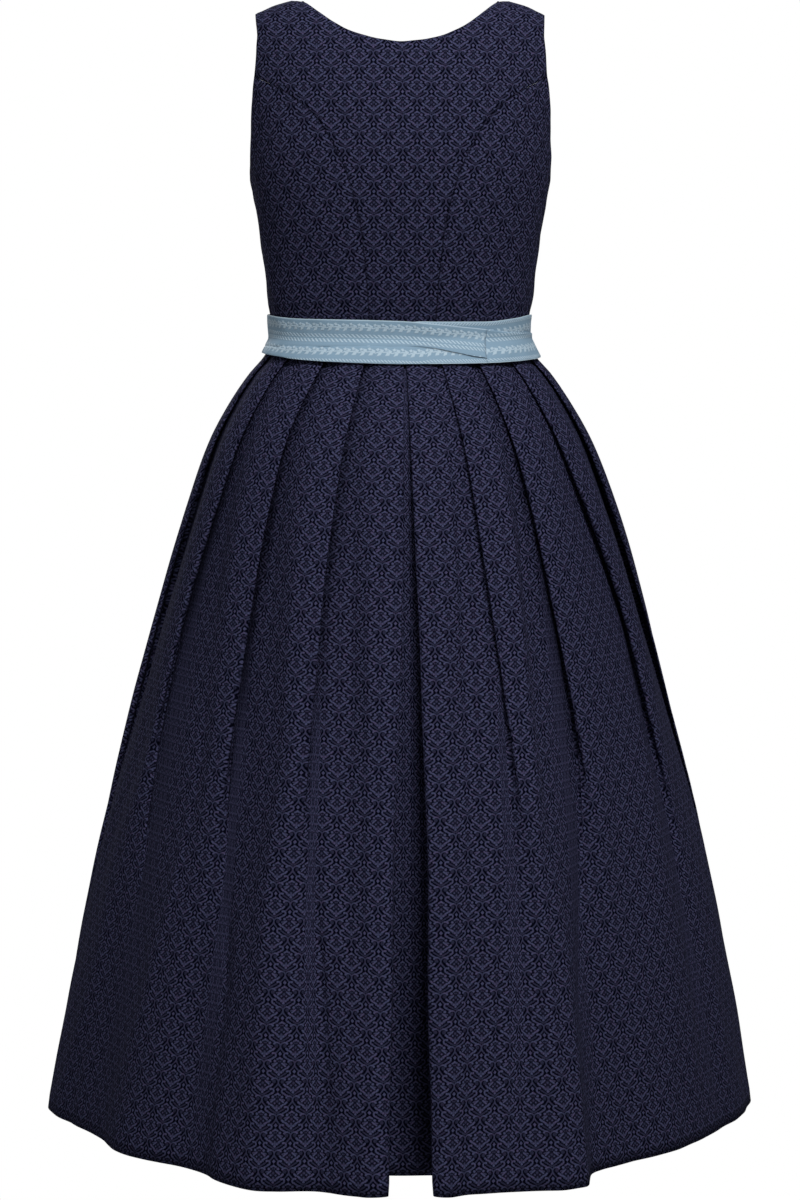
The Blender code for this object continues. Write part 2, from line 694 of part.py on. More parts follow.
def pleat_points(name, next_start, drop):
    """Angles and outward shifts of one pleat's nine points at each drop, from its trough outwards.

    Pressed, the points run along the bottom layer, round the hidden fold, back along the middle
    layer, round the visible edge and over the top layer. Standing, the middle layer points
    outwards. Open, the same points cross the trough and climb the panel after it. next_start is
    the angle at which the next trough begins.
    """
    edges, troughs, turn, stand = PLEATS[name]
    edge = np.radians(by_drop(edges, drop))
    speed = skirt_speed(edge, drop)
    trough = np.radians(by_drop(troughs, drop)) * speed
    span = turn * (next_start - edge) * speed
    middle, bottom, under, waved, box_opened = (column(FOLD_OPENING, k, drop) for k in range(1, 6))
    nose = FOLD_NOSE * np.ones_like(drop)
    none = np.zeros_like(drop)
    across = np.stack([-trough, under - nose, under, under - nose, nose, none, nose, under])
    sunk = np.stack([bottom, bottom, (bottom + middle) / 2, middle, middle, middle / 2, none, none])
    if name.startswith("box"):
        waved = box_opened
        across[0] = BOX_STRIP * under
        across = (1 - waved) * across + waved * BOX_WAVE[:, :1]
        lift = BOX_WAVE[:, 1:]
    else:
        before, beside, standing_sunk, open_before, open_after, open_sunk = PLEAT_STATES.T[..., None]
        standing, opened = np.abs(drop - stand) < FOLD_NOSE, drop > stand + FOLD_NOSE
        across = np.where(standing, beside * nose - before * trough, across)
        across = np.where(opened, open_after * span - open_before * trough, across)
        sunk = np.where(standing, standing_sunk * bottom, sunk)
        sunk = np.where(opened, open_sunk * bottom, sunk)
        lift = column(HEM_WAVE, 1, np.degrees(edge + turn * across / speed))
    outwards = waved * lift - (1 - waved) * sunk
    angle = edge + turn * across / speed
    last = (angle[-1] + next_start) / 2
    last_out = waved * column(HEM_WAVE, 1, np.degrees(last)) - (1 - waved) * LAST_SUNK * bottom
    angle = np.vstack([angle, last])
    outwards = np.vstack([outwards, last_out])
    return (angle, outwards) if turn > 0 else (angle[::-1], outwards[::-1])


def trough_start(name, drop):
    """The angle at which a pleat's trough begins, on the side of its visible edge."""
    edges, troughs, turn, _ = PLEATS[name]
    return np.radians(by_drop(edges, drop) - turn * by_drop(troughs, drop))


def side_seam(side, drop):
    """The angle of the side seam: halfway between the pleats on either side of it."""
    back = by_drop(PLEATS[f"back_{side}_4"][0], drop)
    front = by_drop(PLEATS[f"front_{side}_1"][0], drop)
    return np.radians((back + front) / 2)


def seam_edge(angle, drop, away):
    """A skirt panel's edge, set off from its seam by a distance along the form."""
    outwards = column(FOLD_OPENING, 4, drop) * column(HEM_WAVE, 1, np.degrees(angle))
    centre_front = np.abs(np.degrees(angle)) > 170
    set_back = column(FOLD_OPENING, 2, drop) * (1 - column(FOLD_OPENING, 4, drop))
    outwards = outwards - np.where(centre_front, set_back, 0.0)
    return (angle + away / skirt_speed(angle, drop))[None], outwards[None]


def skirt_section(names, start, end, drop):
    """Points along one skirt panel at each drop, from its start seam through its pleats to its end."""
    angles, shifts = [start[0]], [start[1]]
    for k, name in enumerate(names):
        turn = PLEATS[name][2]
        follower = names[k + 1] if turn > 0 and k + 1 < len(names) else None
        if turn < 0 and k > 0:
            follower = names[k - 1]
        edge = end[0][-1] if turn > 0 else start[0][0]
        next_start = trough_start(follower, drop) if follower else edge
        angle, outwards = pleat_points(name, next_start, drop)
        angles.append(angle)
        shifts.append(outwards)
    angles.append(end[0])
    shifts.append(end[1])
    angle = np.vstack(angles).T
    outwards = np.vstack(shifts).T
    return skirt_point(angle, drop[:, None] * np.ones_like(angle), outwards)


def inward_by_section(outer, thickness, start, end, drop):
    """The inner face: each section's points moved inwards across the section itself.

    At the seams the form's own direction is used, so that the panels on both sides agree.
    """
    step = 0.01
    tangent = np.empty((*outer.shape[:2], 2))
    tangent[:, 1:-1] = (outer[:, 2:] - outer[:, :-2])[..., :2]
    for k, angle in ((0, start), (-1, end)):
        ahead = skirt_point(angle + step, drop, 0.0)
        tangent[:, k] = (ahead - skirt_point(angle - step, drop, 0.0))[:, :2]
    tangent = tangent / np.linalg.norm(tangent, axis=-1, keepdims=True)
    inner = outer.copy()
    inner[..., 0] += thickness * tangent[..., 1]
    inner[..., 1] -= thickness * tangent[..., 0]
    return inner


def skirt_panel(name, pleats, start, end, drop, finish):
    """One skirt panel as a cloth wall; the faces run down from the waist."""
    outer = skirt_section(pleats, start, end, drop)
    inner = inward_by_section(outer, SKIRT_WALL, start[0][0], end[0][-1], drop)
    return wall(name, outer, inner, finish)


def skirt(cloth):
    """The back panel between the side seams and two front panels that meet at the centre front."""
    drop = np.array(SKIRT_ROWS)
    left, right = side_seam("left", drop), side_seam("right", drop)
    centre = np.full(drop.shape, np.pi)
    back = [f"back_right_{k}" for k in (4, 3, 2, 1)] + ["box_right", "box_left"]
    back += [f"back_left_{k}" for k in (1, 2, 3, 4)]
    front_left = [f"front_left_{k}" for k in (1, 2, 3)]
    front_right = [f"front_right_{k}" for k in (3, 2, 1)]
    half = SEAM_GAP / 2
    near_centre = [seam_edge(centre, drop, -away) for away in (BESIDE_ZIP, half)]
    near_centre = [np.vstack(values) for values in zip(*near_centre)]
    beside = [-near_centre[0][::-1], near_centre[1][::-1]]
    skirt_panel("skirt_back", back, seam_edge(right, drop, half), seam_edge(left, drop, -half),
                drop, cloth)
    skirt_panel("skirt_front_left", front_left, seam_edge(left, drop, half), near_centre, drop, cloth)
    skirt_panel("skirt_front_right", front_right, beside, seam_edge(right, drop, -half), drop, cloth)


# ---------------------------------------------------------------------------------------------
# Zip and tie band
# ---------------------------------------------------------------------------------------------
def front_zip(finish):
    """The concealed zip behind the centre front, from the neckline to below the waist.

    Its rows follow the rows of the front panels and of the skirt, so that it clears both.
    """
    upper = front_panel()[:-1, -1]
    upper = body_point(np.full(len(upper), np.pi), upper[:, 1])
    upper = upper + (0.0, BODICE_WALL, 0.0)
    upper[0] += ZIP_START * (upper[1] - upper[0])
    drop = np.array(SKIRT_ROWS)
    drop = drop[drop <= ZIP_END_DROP]
    angle = np.full(drop.shape, np.pi)
    lower = skirt_point(angle, drop, seam_edge(angle, drop, 0)[1][0]) + (0.0, SKIRT_WALL, 0.0)
    middle = np.vstack([upper, lower])
    middle[:, 1] += ZIP_CLEARANCE
    beside = middle + (0.0, ZIP_BOW, 0.0)
    outer = np.stack([beside + (ZIP_HALF, 0, 0), middle, beside - (ZIP_HALF, 0, 0)], axis=1)
    return wall("front_zip", outer, outer + (0.0, ZIP_WALL, 0.0), finish)


def band_strip(name, angle, edges, outwards, finish, ring=False):
    """A stretch of the tie: rows of drops from its upper edge to its lower one."""
    drops = np.stack(np.broadcast_arrays(*edges, angle)[:-1])
    outwards = np.stack(np.broadcast_arrays(*outwards, angle)[:-1])
    angle = np.radians(angle)[None] * np.ones((len(drops), 1))
    outer = band_point(angle, drops, outwards + BAND_WALL)
    inner = band_point(angle, drops, outwards)
    return wall(name, outer, inner, finish, ring)


def tie_band(finish):
    """The first winding all round, and the second one in two stretches that meet at the seam."""
    angle = np.arange(-180.0, 180.0, BAND_STEP)
    hidden = share(angle, *COVERED_LEFT) + share(angle, *COVERED_RIGHT)
    top = column(BAND_TOP, 1, angle) + UNDER_MARGIN * hidden
    bottom = column(BAND_BOTTOM, 1, angle) - UNDER_MARGIN
    band_strip("band_under", angle, (top, BAND_BEND_DROP, bottom), (0, 0, 0), finish, ring=True)

    second = BAND_WALL + SEAM_GAP
    half_gap = np.degrees(SEAM_GAP / 2 / BAND_FORM[1, 2])
    angle = np.arange(BAND_SEAM_ANGLE, 180.0 + BAND_FRONT_LAP + 1, BAND_STEP)
    angle[0] += half_gap
    top, bottom = column(LAP_TOP, 1, angle), column(BAND_BOTTOM, 1, angle)
    fold, proud = column(TUCK, 1, angle), column(TUCK, 2, angle)
    lower = second * (1 + share(angle, *LAP_RISE))
    band_strip("band_over_left", angle, (top, BAND_BEND_DROP, fold, fold + TUCK_LEDGE, bottom),
               (lower + proud, lower + proud, lower + proud, lower, lower), finish)

    angle = np.arange(-180.0, BAND_SEAM_ANGLE + 1, BAND_STEP)
    angle[-1] -= half_gap
    top, bottom = column(LAP_TOP, 1, angle), column(BAND_BOTTOM, 1, angle)
    band_strip("band_over_right", angle, (top, BAND_BEND_DROP, bottom), (second,) * 3, finish)


def main():
    for old in list(bpy.data.objects):
        bpy.data.objects.remove(old, do_unlink=True)
    navy = material("navy_jacquard", (0.018, 0.019, 0.045), 0.85)
    blue = material("pale_blue_ribbon", (0.27, 0.38, 0.48), 0.60)
    tape = material("navy_zip_tape", (0.010, 0.011, 0.030), 0.70)
    bodice(navy)
    skirt(navy)
    front_zip(tape)
    tie_band(blue)


main()
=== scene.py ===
"""Dirndl: sleeveless bodice, pleated skirt and a wound ribbon band, dressed on its solid parts.

Metres, +Z up. The wearer faces -Y, so the back of the dress faces +Y, and +X is the wearer's left.
An angle round the body is 0 at the centre back, 90 at the wearer's left side and 180 at the centre
front. A drop is a distance below the shoulders. Each cloth piece is a grid of points worked out
from two numbers, with a map of its grain in metres, and is thickened into a thin shell.
"""

import bpy
import numpy as np
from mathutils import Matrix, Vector


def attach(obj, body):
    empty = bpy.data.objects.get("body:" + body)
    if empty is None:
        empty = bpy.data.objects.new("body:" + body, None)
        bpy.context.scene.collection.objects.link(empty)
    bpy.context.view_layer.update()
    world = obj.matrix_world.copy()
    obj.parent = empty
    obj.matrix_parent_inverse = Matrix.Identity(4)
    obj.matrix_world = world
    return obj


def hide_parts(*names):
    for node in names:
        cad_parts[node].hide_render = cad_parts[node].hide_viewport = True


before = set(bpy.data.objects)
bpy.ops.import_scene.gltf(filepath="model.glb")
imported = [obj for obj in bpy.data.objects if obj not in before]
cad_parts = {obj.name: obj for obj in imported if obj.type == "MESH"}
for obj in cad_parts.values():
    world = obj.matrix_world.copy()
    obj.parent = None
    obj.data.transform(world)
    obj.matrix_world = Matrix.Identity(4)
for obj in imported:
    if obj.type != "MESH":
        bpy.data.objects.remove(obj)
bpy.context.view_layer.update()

bl_info = {
    "name": "Dirndl",
    "version": (1, 0, 0),
    "blender": (4, 5, 0),
    "location": "3D View > Sidebar > Dirndl",
    "description": "Builds a navy jacquard dirndl with a pleated skirt and a ribbon band",
    "category": "Object",
}

# ---------------------------------------------------------------------------------------------
# Driving dimensions, in metres
# ---------------------------------------------------------------------------------------------
SEAM_GAP = 0.00004        # sewn edges all but touch
WAIST_DROP = 0.3305
HEM_DROP = 1.1030
NECK_HALF = 0.0975
SHOULDER_HALF = 0.1400
SHOULDER_SLOPE = 0.27
NECK_SLOPE = 0.12
SHOULDER_TRIM = 0.0006
STRAP_RISE = 0.0014       # height of the strap's outer face over the origin
ZIP_HALF = 0.011
ZIP_TOP_DROP = 0.1280
ZIP_END_DROP = 0.4640
ZIP_DEPTH = 0.0020        # how far the tape lies behind the front's outer face
ZIP_FALL = 0.0008         # how far its edges fall back
ZIP_RIDGE = 0.0003        # how far the coil stands out
ZIP_RIDGE_SPREAD = 0.16
ZIP_THICKNESS = 0.0006

# The bodice's form. A level is the square root of the drop over the whole drop to the waist.
BODY_SQUARENESS = 2.25
BODY_FORM = np.array([
    # level, half_width, back_depth, front_depth
    (0.000, 0.1580, 0.0000, 0.0000),
    (0.100, 0.1578, 0.0260, 0.0220),
    (0.200, 0.1570, 0.0470, 0.0410),
    (0.300, 0.1557, 0.0640, 0.0560),
    (0.400, 0.1540, 0.0780, 0.0700),
    (0.500, 0.1524, 0.0900, 0.0830),
    (0.600, 0.1512, 0.0990, 0.0960),
    (0.700, 0.1496, 0.1045, 0.1080),
    (0.750, 0.1460, 0.1050, 0.1130),
    (0.800, 0.1416, 0.1040, 0.1150),
    (0.850, 0.1377, 0.1015, 0.1140),
    (0.900, 0.1340, 0.0980, 0.1090),
    (0.950, 0.1312, 0.0942, 0.1010),
    (0.965, 0.1292, 0.0918, 0.0976),
    (0.978, 0.1276, 0.0906, 0.0950),
    (1.000, 0.1258, 0.0894, 0.0922),
])
BUST_OUT = 0.083
BUST_DROP = 0.212
BUST_RISE = 0.013         # how far the cloth stands out there
BUST_SPREAD = 0.052
BUST_BLEND = 0.5          # how far from the side, as a share of the way to the front, it fades in

# Seams and edges of one half of the bodice, each from its upper end down
BACK_NECKLINE = np.array([
    # out, drop
    (0.0000, 0.0460),
    (0.0200, 0.0440),
    (0.0400, 0.0392),
    (0.0540, 0.0333),
    (0.0700, 0.0230),
    (0.0850, 0.0110),
    (0.0940, 0.0030),
])
BACK_ARMHOLE = np.array([
    # drop, out
    (0.0380, 0.1412),
    (0.0775, 0.1442),
])
BACK_PRINCESS = np.array([
    # drop, out
    (0.0775, 0.1442),
    (0.0950, 0.1140),
    (0.1120, 0.0910),
    (0.1310, 0.0760),
    (0.1520, 0.0650),
    (0.1710, 0.0560),
    (0.1990, 0.0470),
    (0.2290, 0.0405),
    (0.2650, 0.0360),
    (0.3305, 0.0315),
])
BACK_UNDERARM = np.array([
    # drop, angle from the centre back in degrees
    (0.0775, 70.8),
    (0.1080, 74.5),
    (0.1425, 79.0),
    (0.1620, 84.0),
    (0.1700, 90.0),
])
FRONT_NECKLINE = np.array([
    # out, drop
    (0.0000, 0.1230),
    (0.0250, 0.1205),
    (0.0480, 0.1110),
    (0.0680, 0.0910),
    (0.0820, 0.0620),
    (0.0900, 0.0330),
    (0.0950, 0.0090),
])
FRONT_ARMHOLE = np.array([
    # drop, out
    (0.0300, 0.1355),
    (0.0620, 0.1300),
    (0.0950, 0.1290),
])
FRONT_PRINCESS = np.array([
    # drop, out
    (0.0950, 0.1290),
    (0.1150, 0.1120),
    (0.1400, 0.0980),
    (0.1700, 0.0890),
    (0.2050, 0.0845),
    (0.2450, 0.0790),
    (0.2850, 0.0680),
    (0.3305, 0.0570),
])
FRONT_UNDERARM = np.array([
    # drop, angle from the centre back in degrees
    (0.0950, 122.0),
    (0.1200, 113.0),
    (0.1450, 104.0),
    (0.1630, 95.5),
    (0.1700, 90.0),
])
TURN_DROP = 0.150         # where the princess seams turn towards the waist
SEAM_SHADE = 0.7          # how dark the painted shade is in a seam's groove and along panel edges
SEAM_SHADE_REACH = 0.0008
SIDE_COLUMNS = 4          # the armhole runs to the princess seam over one part in this many
CENTRE_COLUMNS = 26       # columns from the centre to where the princess seam turns
STRAP_COLUMNS = 34        # columns from there to the armhole, and the seam's rows above its turn
CENTRE_SHARE = 0.34       # how much of the neck and shoulder edge lies over the centre columns
YOKE_ROWS = 40            # rows from the shoulder to the seam's turn
LOWER_ROWS = 40           # rows from the turn to the waist
EDGE_ROLL_REACH = 0.0022  # how far from an edge the cloth begins to turn in
FOLD_GAP = 0.0025         # the centre back's fold takes no roll this near its line
NECK_ROLL_DROPS = (0.0015, 0.0040)   # but its neckline does, down to these
STRAP_END_LEVEL = 0.12    # the ripples fade out above this level
STRAP_DROOP_LEVEL = 0.35  # and the strap's edges sink above this one
STRAP_DROOP = (
    # out, how far the strap's edge sinks there, over what spread
    (NECK_HALF, 0.0042, 0.0050),
    (SHOULDER_HALF, 0.0034, 0.0110),
)

# Ripples: height, period across, period along and bend of each slow wave, and where it starts
BODICE_RIPPLE = (
    (0.00045, 0.110, 0.160, 0.20),
    (0.00030, 0.046, 0.090, 0.35),
    (0.00018, 0.023, 0.060, 0.30),
)
WAIST_RIPPLE = ((0.0006, 0.034, 0.30, 0.1),)
WAIST_RIPPLE_REACH = 0.055
SKIRT_RIPPLE = (
    (0.0011, 0.170, 0.70, 0.20),
    (0.0008, 0.088, 0.46, 0.25),
    (0.0004, 0.045, 0.23, 0.30),
)
SKIRT_RIPPLE_DROPS = (0.40, 0.75)    # the skirt's ripples grow between these drops
SEAM_CALM = 0.04          # and fade out this near to a seam
RIBBON_RIPPLE = (
    (0.00030, 0.075, 0.05, 0.2),
    (0.00018, 0.031, 0.03, 0.3),
)
BODICE_SEED = 3.0
SKIRT_SEED = 2.0

# The skirt's outer form, before its folds
SKIRT_FORM = np.array([
    # drop, left half_width, back_depth, front_depth, squareness, right half_width
    (0.3308, 0.1274, 0.0916, 0.0940, 2.20, 0.1274),
    (0.3465, 0.1326, 0.0976, 0.0996, 2.15, 0.1326),
    (0.3690, 0.1510, 0.1185, 0.1180, 2.10, 0.1515),
    (0.3940, 0.1680, 0.1400, 0.1370, 2.05, 0.1688),
    (0.4340, 0.1893, 0.1675, 0.1610, 2.00, 0.1912),
    (0.4940, 0.2105, 0.1950, 0.1850, 1.95, 0.2145),
    (0.5940, 0.2400, 0.2320, 0.2170, 1.88, 0.2450),
    (0.7140, 0.2710, 0.2720, 0.2510, 1.86, 0.2760),
    (0.8440, 0.3030, 0.3120, 0.2870, 1.84, 0.3095),
    (0.9740, 0.3300, 0.3470, 0.3180, 1.82, 0.3360),
    (HEM_DROP, 0.3532, 0.3800, 0.3450, 1.80, 0.3570),
])

# How far below the top layer a pleat's middle and bottom layers lie, how far they reach under it,
# and how much of the hem's wave the section has taken on.
FOLD_OPENING = np.array([
    # drop, middle, bottom, under, opened, box_opened
    (0.3308, 0.0028, 0.0041, 0.0185, 0.00, 0.00),
    (0.3690, 0.0030, 0.0048, 0.0220, 0.00, 0.00),
    (0.4040, 0.0036, 0.0064, 0.0260, 0.03, 0.00),
    (0.4640, 0.0052, 0.0100, 0.0310, 0.10, 0.02),
    (0.5600, 0.0075, 0.0145, 0.0320, 0.26, 0.08),
    (0.6900, 0.0092, 0.0175, 0.0290, 0.46, 0.24),
    (0.8300, 0.0100, 0.0190, 0.0250, 0.66, 0.50),
    (0.9700, 0.0100, 0.0190, 0.0220, 0.85, 0.78),
    (HEM_DROP, 0.0100, 0.0190, 0.0200, 1.00, 1.00),
])
PLEAT_DROPS = (0.3308, 0.4540, 0.6100, 0.8400, HEM_DROP)
PLEATS = {
    # name: (edge angles), (trough widths), facing, drops at which it starts to open and is open
    "front_right_3": ((-152.0, -154.0, -156.0, -159.0, -161.0), (0, 1, 3, 6, 9), 1, 0.56, 0.98),
    "front_right_2": ((-132.0, -134.0, -136.0, -138.0, -140.0), (0, 1, 3, 6, 9), 1, 0.58, 0.98),
    "front_right_1": ((-112.0, -113.0, -114.0, -116.0, -118.0), (0, 1, 3, 6, 9), 1, 0.54, 0.96),
    "back_right_4": ((-67.0, -77.0, -88.0, -93.0, -97.0), (0, 1, 3, 5, 7), -1, 0.56, 1.00),
    "back_right_3": ((-47.5, -55.0, -67.0, -70.5, -74.0), (0, 1, 4, 8, 12), -1, 0.52, 1.00),
    "back_right_2": ((-30.0, -34.6, -38.0, -40.4, -40.0), (0, 1.5, 8, 13.8, 14.5), -1, 0.46, 0.98),
    "back_right_1": ((-14.8, -17.6, -19.1, -20.7, -19.5), (0, 1, 3, 6, 9), -1, 0.52, 0.90),
    "box_right": ((-1.05, -1.8, -2.6, -3.0, -2.8), (0, 0, 0, 0, 0), -1, 0.56, 1.00),
    "box_left": ((-0.35, 0.6, 1.3, 2.7, 3.6), (0, 0, 0, 0, 0), 1, 0.56, 1.00),
    "back_left_1": ((14.6, 18.2, 19.7, 19.9, 18.5), (0, 1, 3, 5, 9), 1, 0.50, 0.90),
    "back_left_2": ((31.0, 38.2, 40.2, 40.7, 45.0), (0, 1, 4, 8, 14), 1, 0.50, 0.94),
    "back_left_3": ((52.5, 59.5, 67.5, 71.0, 76.0), (0, 2, 13, 20, 20), 1, 0.44, 1.00),
    "back_left_4": ((73.0, 81.0, 90.0, 93.0, 97.0), (0, 1, 3, 5, 7), 1, 0.56, 1.00),
    "front_left_1": ((112.0, 113.0, 114.0, 116.0, 118.0), (0, 1, 3, 6, 9), -1, 0.57, 0.97),
    "front_left_2": ((132.0, 134.0, 136.0, 138.0, 140.0), (0, 1, 3, 6, 9), -1, 0.55, 0.98),
    "front_left_3": ((152.0, 154.0, 156.0, 159.0, 161.0), (0, 1, 3, 6, 9), -1, 0.58, 0.96),
}
FOLD_NOSE = 0.004         # how far a pressed fold's round edge reaches
PLEAT_STATES = np.array([
    # standing_before, standing_beside, standing_sunk, open_before, open_after, open_sunk
    (1.0, 0.0, 0.60, 1.00, 0.00, 0.30),
    (0.0, -0.4, 1.00, 0.84, 0.00, 1.00),
    (0.0, 0.3, 0.85, 0.66, 0.00, 0.94),
    (0.0, 0.4, 0.60, 0.45, 0.00, 0.84),
    (0.0, 0.2, 0.35, 0.22, 0.00, 0.66),
    (0.0, 0.0, 0.12, 0.00, 0.00, 0.36),
    (0.0, 0.8, 0.00, 0.00, 0.10, 0.00),
    (0.0, 5.0, 0.00, 0.00, 0.35, 0.00),
])
STEPS_BETWEEN = (4, 3, 3, 4, 4, 5, 8, 9, 9)   # columns from each of a pleat's points to the next
EDGE_KEY = 5              # which of a pleat's points is its visible edge
FACE_SHARE = 0.97         # the most that the visible faces may take of a panel's width
FOLD_EVEN = 0.36          # of a fold's flank, how much keeps its scale next to each face
# How dark the painted shade is beside the edges of these pleats, and how far from the edge that reaches
LIP_SHADE = {"back_left_1": 0.75, "back_left_2": 0.8, "back_left_3": 0.4, "back_right_2": 0.6}
LIP_REACH = 0.0055
HEM_TURN = 0.0007         # how far the hem's last edge turns in
HEM_TURN_REACH = 0.0035
BOX_STRIP = 0.3           # how much of the inverted pleat's underlay its own half of the gap takes
LAST_SUNK = 0.45          # how deep the cloth lies before the next trough
BOX_WAVE = np.array([
    # across, outwards
    (0.004, -0.068),
    (0.010, -0.064),
    (0.014, -0.050),
    (0.012, -0.034),
    (0.007, -0.014),
    (0.000, 0.006),
    (0.004, 0.013),
    (0.016, 0.0165),
])
HEM_WAVE = np.array([
    # angle, outwards
    (-180.0, -0.002),
    (-168.0, -0.008),
    (-157.0, 0.009),
    (-146.0, -0.008),
    (-136.0, 0.009),
    (-124.0, -0.008),
    (-110.0, 0.008),
    (-90.0, 0.000),
    (-79.0, -0.010),
    (-66.0, -0.0165),
    (-53.0, -0.0160),
    (-43.0, -0.0200),
    (-35.0, -0.0180),
    (-30.5, -0.0100),
    (-25.5, 0.0240),
    (-22.0, 0.0270),
    (-18.0, 0.0180),
    (-12.0, 0.0110),
    (-8.0, 0.0105),
    (-5.0, 0.0140),
    (5.0, 0.0165),
    (9.0, 0.0130),
    (14.0, 0.0050),
    (20.0, 0.0190),
    (23.0, 0.0240),
    (31.0, 0.0060),
    (35.0, -0.0060),
    (41.0, -0.0110),
    (52.0, -0.0040),
    (56.0, -0.0060),
    (61.0, -0.0145),
    (67.0, -0.0170),
    (75.0, -0.0140),
    (82.0, -0.0040),
    (90.0, 0.0020),
    (110.0, 0.0080),
    (124.0, -0.0080),
    (136.0, 0.0090),
    (146.0, -0.0080),
    (157.0, 0.0090),
    (168.0, -0.0080),
    (180.0, -0.0020),
])

# The ribbon band's inner form and its edges
BAND_SQUARENESS = 2.25
BAND_BEND_DROP = 0.3330
BAND_FORM = np.array([
    # drop, half_width, back_depth, front_depth
    (0.3020, 0.1306, 0.0948, 0.1002),
    (BAND_BEND_DROP, 0.1290, 0.0932, 0.0956),
    (0.3600, 0.1430, 0.1110, 0.1114),
])
BAND_TOP = np.array([
    # angle, drop
    (-180.0, 0.3100),
    (-110.0, 0.3095),
    (-78.0, 0.3095),
    (-53.0, 0.3137),
    (-37.0, 0.3166),
    (-18.0, 0.3167),
    (0.0, 0.3161),
    (17.0, 0.3151),
    (47.0, 0.3137),
    (80.0, 0.3100),
    (110.0, 0.3090),
    (190.0, 0.3100),
])
BAND_BOTTOM = np.array([
    # angle, drop
    (-180.0, 0.3490),
    (-86.0, 0.3512),
    (-59.0, 0.3540),
    (-35.0, 0.3567),
    (0.0, 0.3574),
    (16.0, 0.3565),
    (46.0, 0.3529),
    (57.0, 0.3503),
    (89.0, 0.3470),
    (120.0, 0.3470),
    (190.0, 0.3490),
])
LAP_TOP = np.array([
    # angle, drop of the upper edge of the winding that laps over
    (-180.0, 0.3100),
    (-130.0, 0.3220),
    (-86.0, 0.3276),
    (-49.0, 0.3267),
    (-37.0, 0.3240),
    (-25.0, 0.3214),
    (-11.5, 0.3185),
    (0.0, 0.3163),
    (17.0, 0.3151),
    (47.0, 0.3137),
    (80.0, 0.3100),
    (110.0, 0.3090),
    (190.0, 0.3100),
])
TUCK = np.array([
    # angle, drop, how far the upper part stands out over the lower
    (-37.5, 0.3517, 0.0012),
    (-30.0, 0.3500, 0.0012),
    (-25.6, 0.3480, 0.0010),
    (-19.0, 0.3450, 0.0008),
    (-13.0, 0.3421, 0.0005),
    (-2.5, 0.3402, 0.0000),
    (190.0, 0.3402, 0.0000),
])
BAND_SEAM_ANGLE = -37.5
BAND_FRONT_LAP = 7.5      # degrees that the second winding's ends overlap at the front
LAP_RISE = (162, 174)     # degrees over which its upper end rises over the other
UNDER_MARGIN = 0.003      # how far the first winding keeps inside the second's edges
COVERED_LEFT = (-8, 10)   # degrees over which the second winding comes to cover the first
COVERED_RIGHT = (-130, -160)
SEAM_HALF_ANGLE = np.degrees(SEAM_GAP / 2 / BAND_FORM[1, 2])
BAND_STEP = 1.5           # degrees from column to column
BAND_ROWS = 22
UPPER_LAYER_ROWS = 18     # of the stretch with the tuck
LOWER_LAYER_ROWS = 12
FIRST_OUT = 0.0006        # how far the windings lie off the form
SECOND_OUT = 0.0017
TUCK_GAP = 0.0004         # from the tuck's fold to the cloth under it
TUCK_HALF = 0.0002
TUCK_DEPTH = 0.0010       # how far the cloth runs up behind the fold
TUCK_SHADE_REACH = 0.0011
RIBBON_WIDTH = 0.042      # the woven pattern's width, measured upright
SEAM_LEAN = 3.5           # degrees that the band's seam leans towards the centre on its way down
SEAM_LEAN_DROPS = (0.3200, 0.3550)
SEAM_LEAN_REACH = 9.0     # degrees over which the cloth beside the seam takes the lean up

# The cell in which the jacquard's flower is charted, in millimetres
CELL_WIDTH = 28.0
CELL_HEIGHT = 32.0
PAINTED_SHADE_NAVY = (0.001, 0.001, 0.003)   # the near black navy that the painted shade in seams, along edges and under folds mixes the colour towards


# ---------------------------------------------------------------------------------------------
# Curves and forms
# ---------------------------------------------------------------------------------------------
def smooth(xs, ys, x):
    """A curve through the points (xs, ys) that never overshoots them, read at x.

    Between two points it is a cubic. Its slope at a point is the weighted harmonic mean of the
    slopes on both sides, or level where they turn.
    """
    xs, ys, x = (np.asarray(v, float) for v in (xs, ys, x))
    step = np.diff(xs)
    rise = np.diff(ys) / step
    slope = np.zeros(len(xs))
    slope[0], slope[-1] = rise[0], rise[-1]
    before = 2 * step[1:] + step[:-1]
    after = step[1:] + 2 * step[:-1]
    turning = rise[:-1] * rise[1:] <= 0
    left = np.where(turning, 1.0, rise[:-1])
    right = np.where(turning, 1.0, rise[1:])
    slope[1:-1] = np.where(turning, 0.0, (before + after) / (before / left + after / right))
    k = np.clip(np.searchsorted(xs, x) - 1, 0, len(xs) - 2)
    t = (x - xs[k]) / step[k]
    start = ys[k] * (2 * t**3 - 3 * t**2 + 1) + step[k] * slope[k] * (t**3 - 2 * t**2 + t)
    end = ys[k + 1] * (3 * t**2 - 2 * t**3) + step[k] * slope[k + 1] * (t**3 - t**2)
    return start + end


def column(table, index, x):
    """One column of a table, read as a smooth curve of its first column."""
    return smooth(table[:, 0], table[:, index], x)


def across_centre(table, x):
    """The second column of a table that is the same on both sides of 0, level at 0 itself."""
    whole = np.vstack([table[:0:-1] * (-1, 1), table])
    return column(whole, 1, x)


def share(x, low, high):
    """How far x is on the way from low to high, from 0 to 1."""
    return np.clip((np.asarray(x, float) - low) / (high - low), 0, 1)


def ease(x, low, high):
    """0 below low, 1 above high and an even S between them."""
    t = share(x, low, high)
    return t * t * (3 - 2 * t)


def rounded(angle, squareness):
    """A point on a unit superellipse in the direction of an angle: how far left, how far back.

    The powers of its two coordinates add up to 1. With 2 it is a circle; more makes it squarer.
    """
    left, back = np.sin(angle), np.cos(angle)
    reach = (np.abs(left) ** squareness + np.abs(back) ** squareness) ** (-1 / squareness)
    return reach * left, reach * back


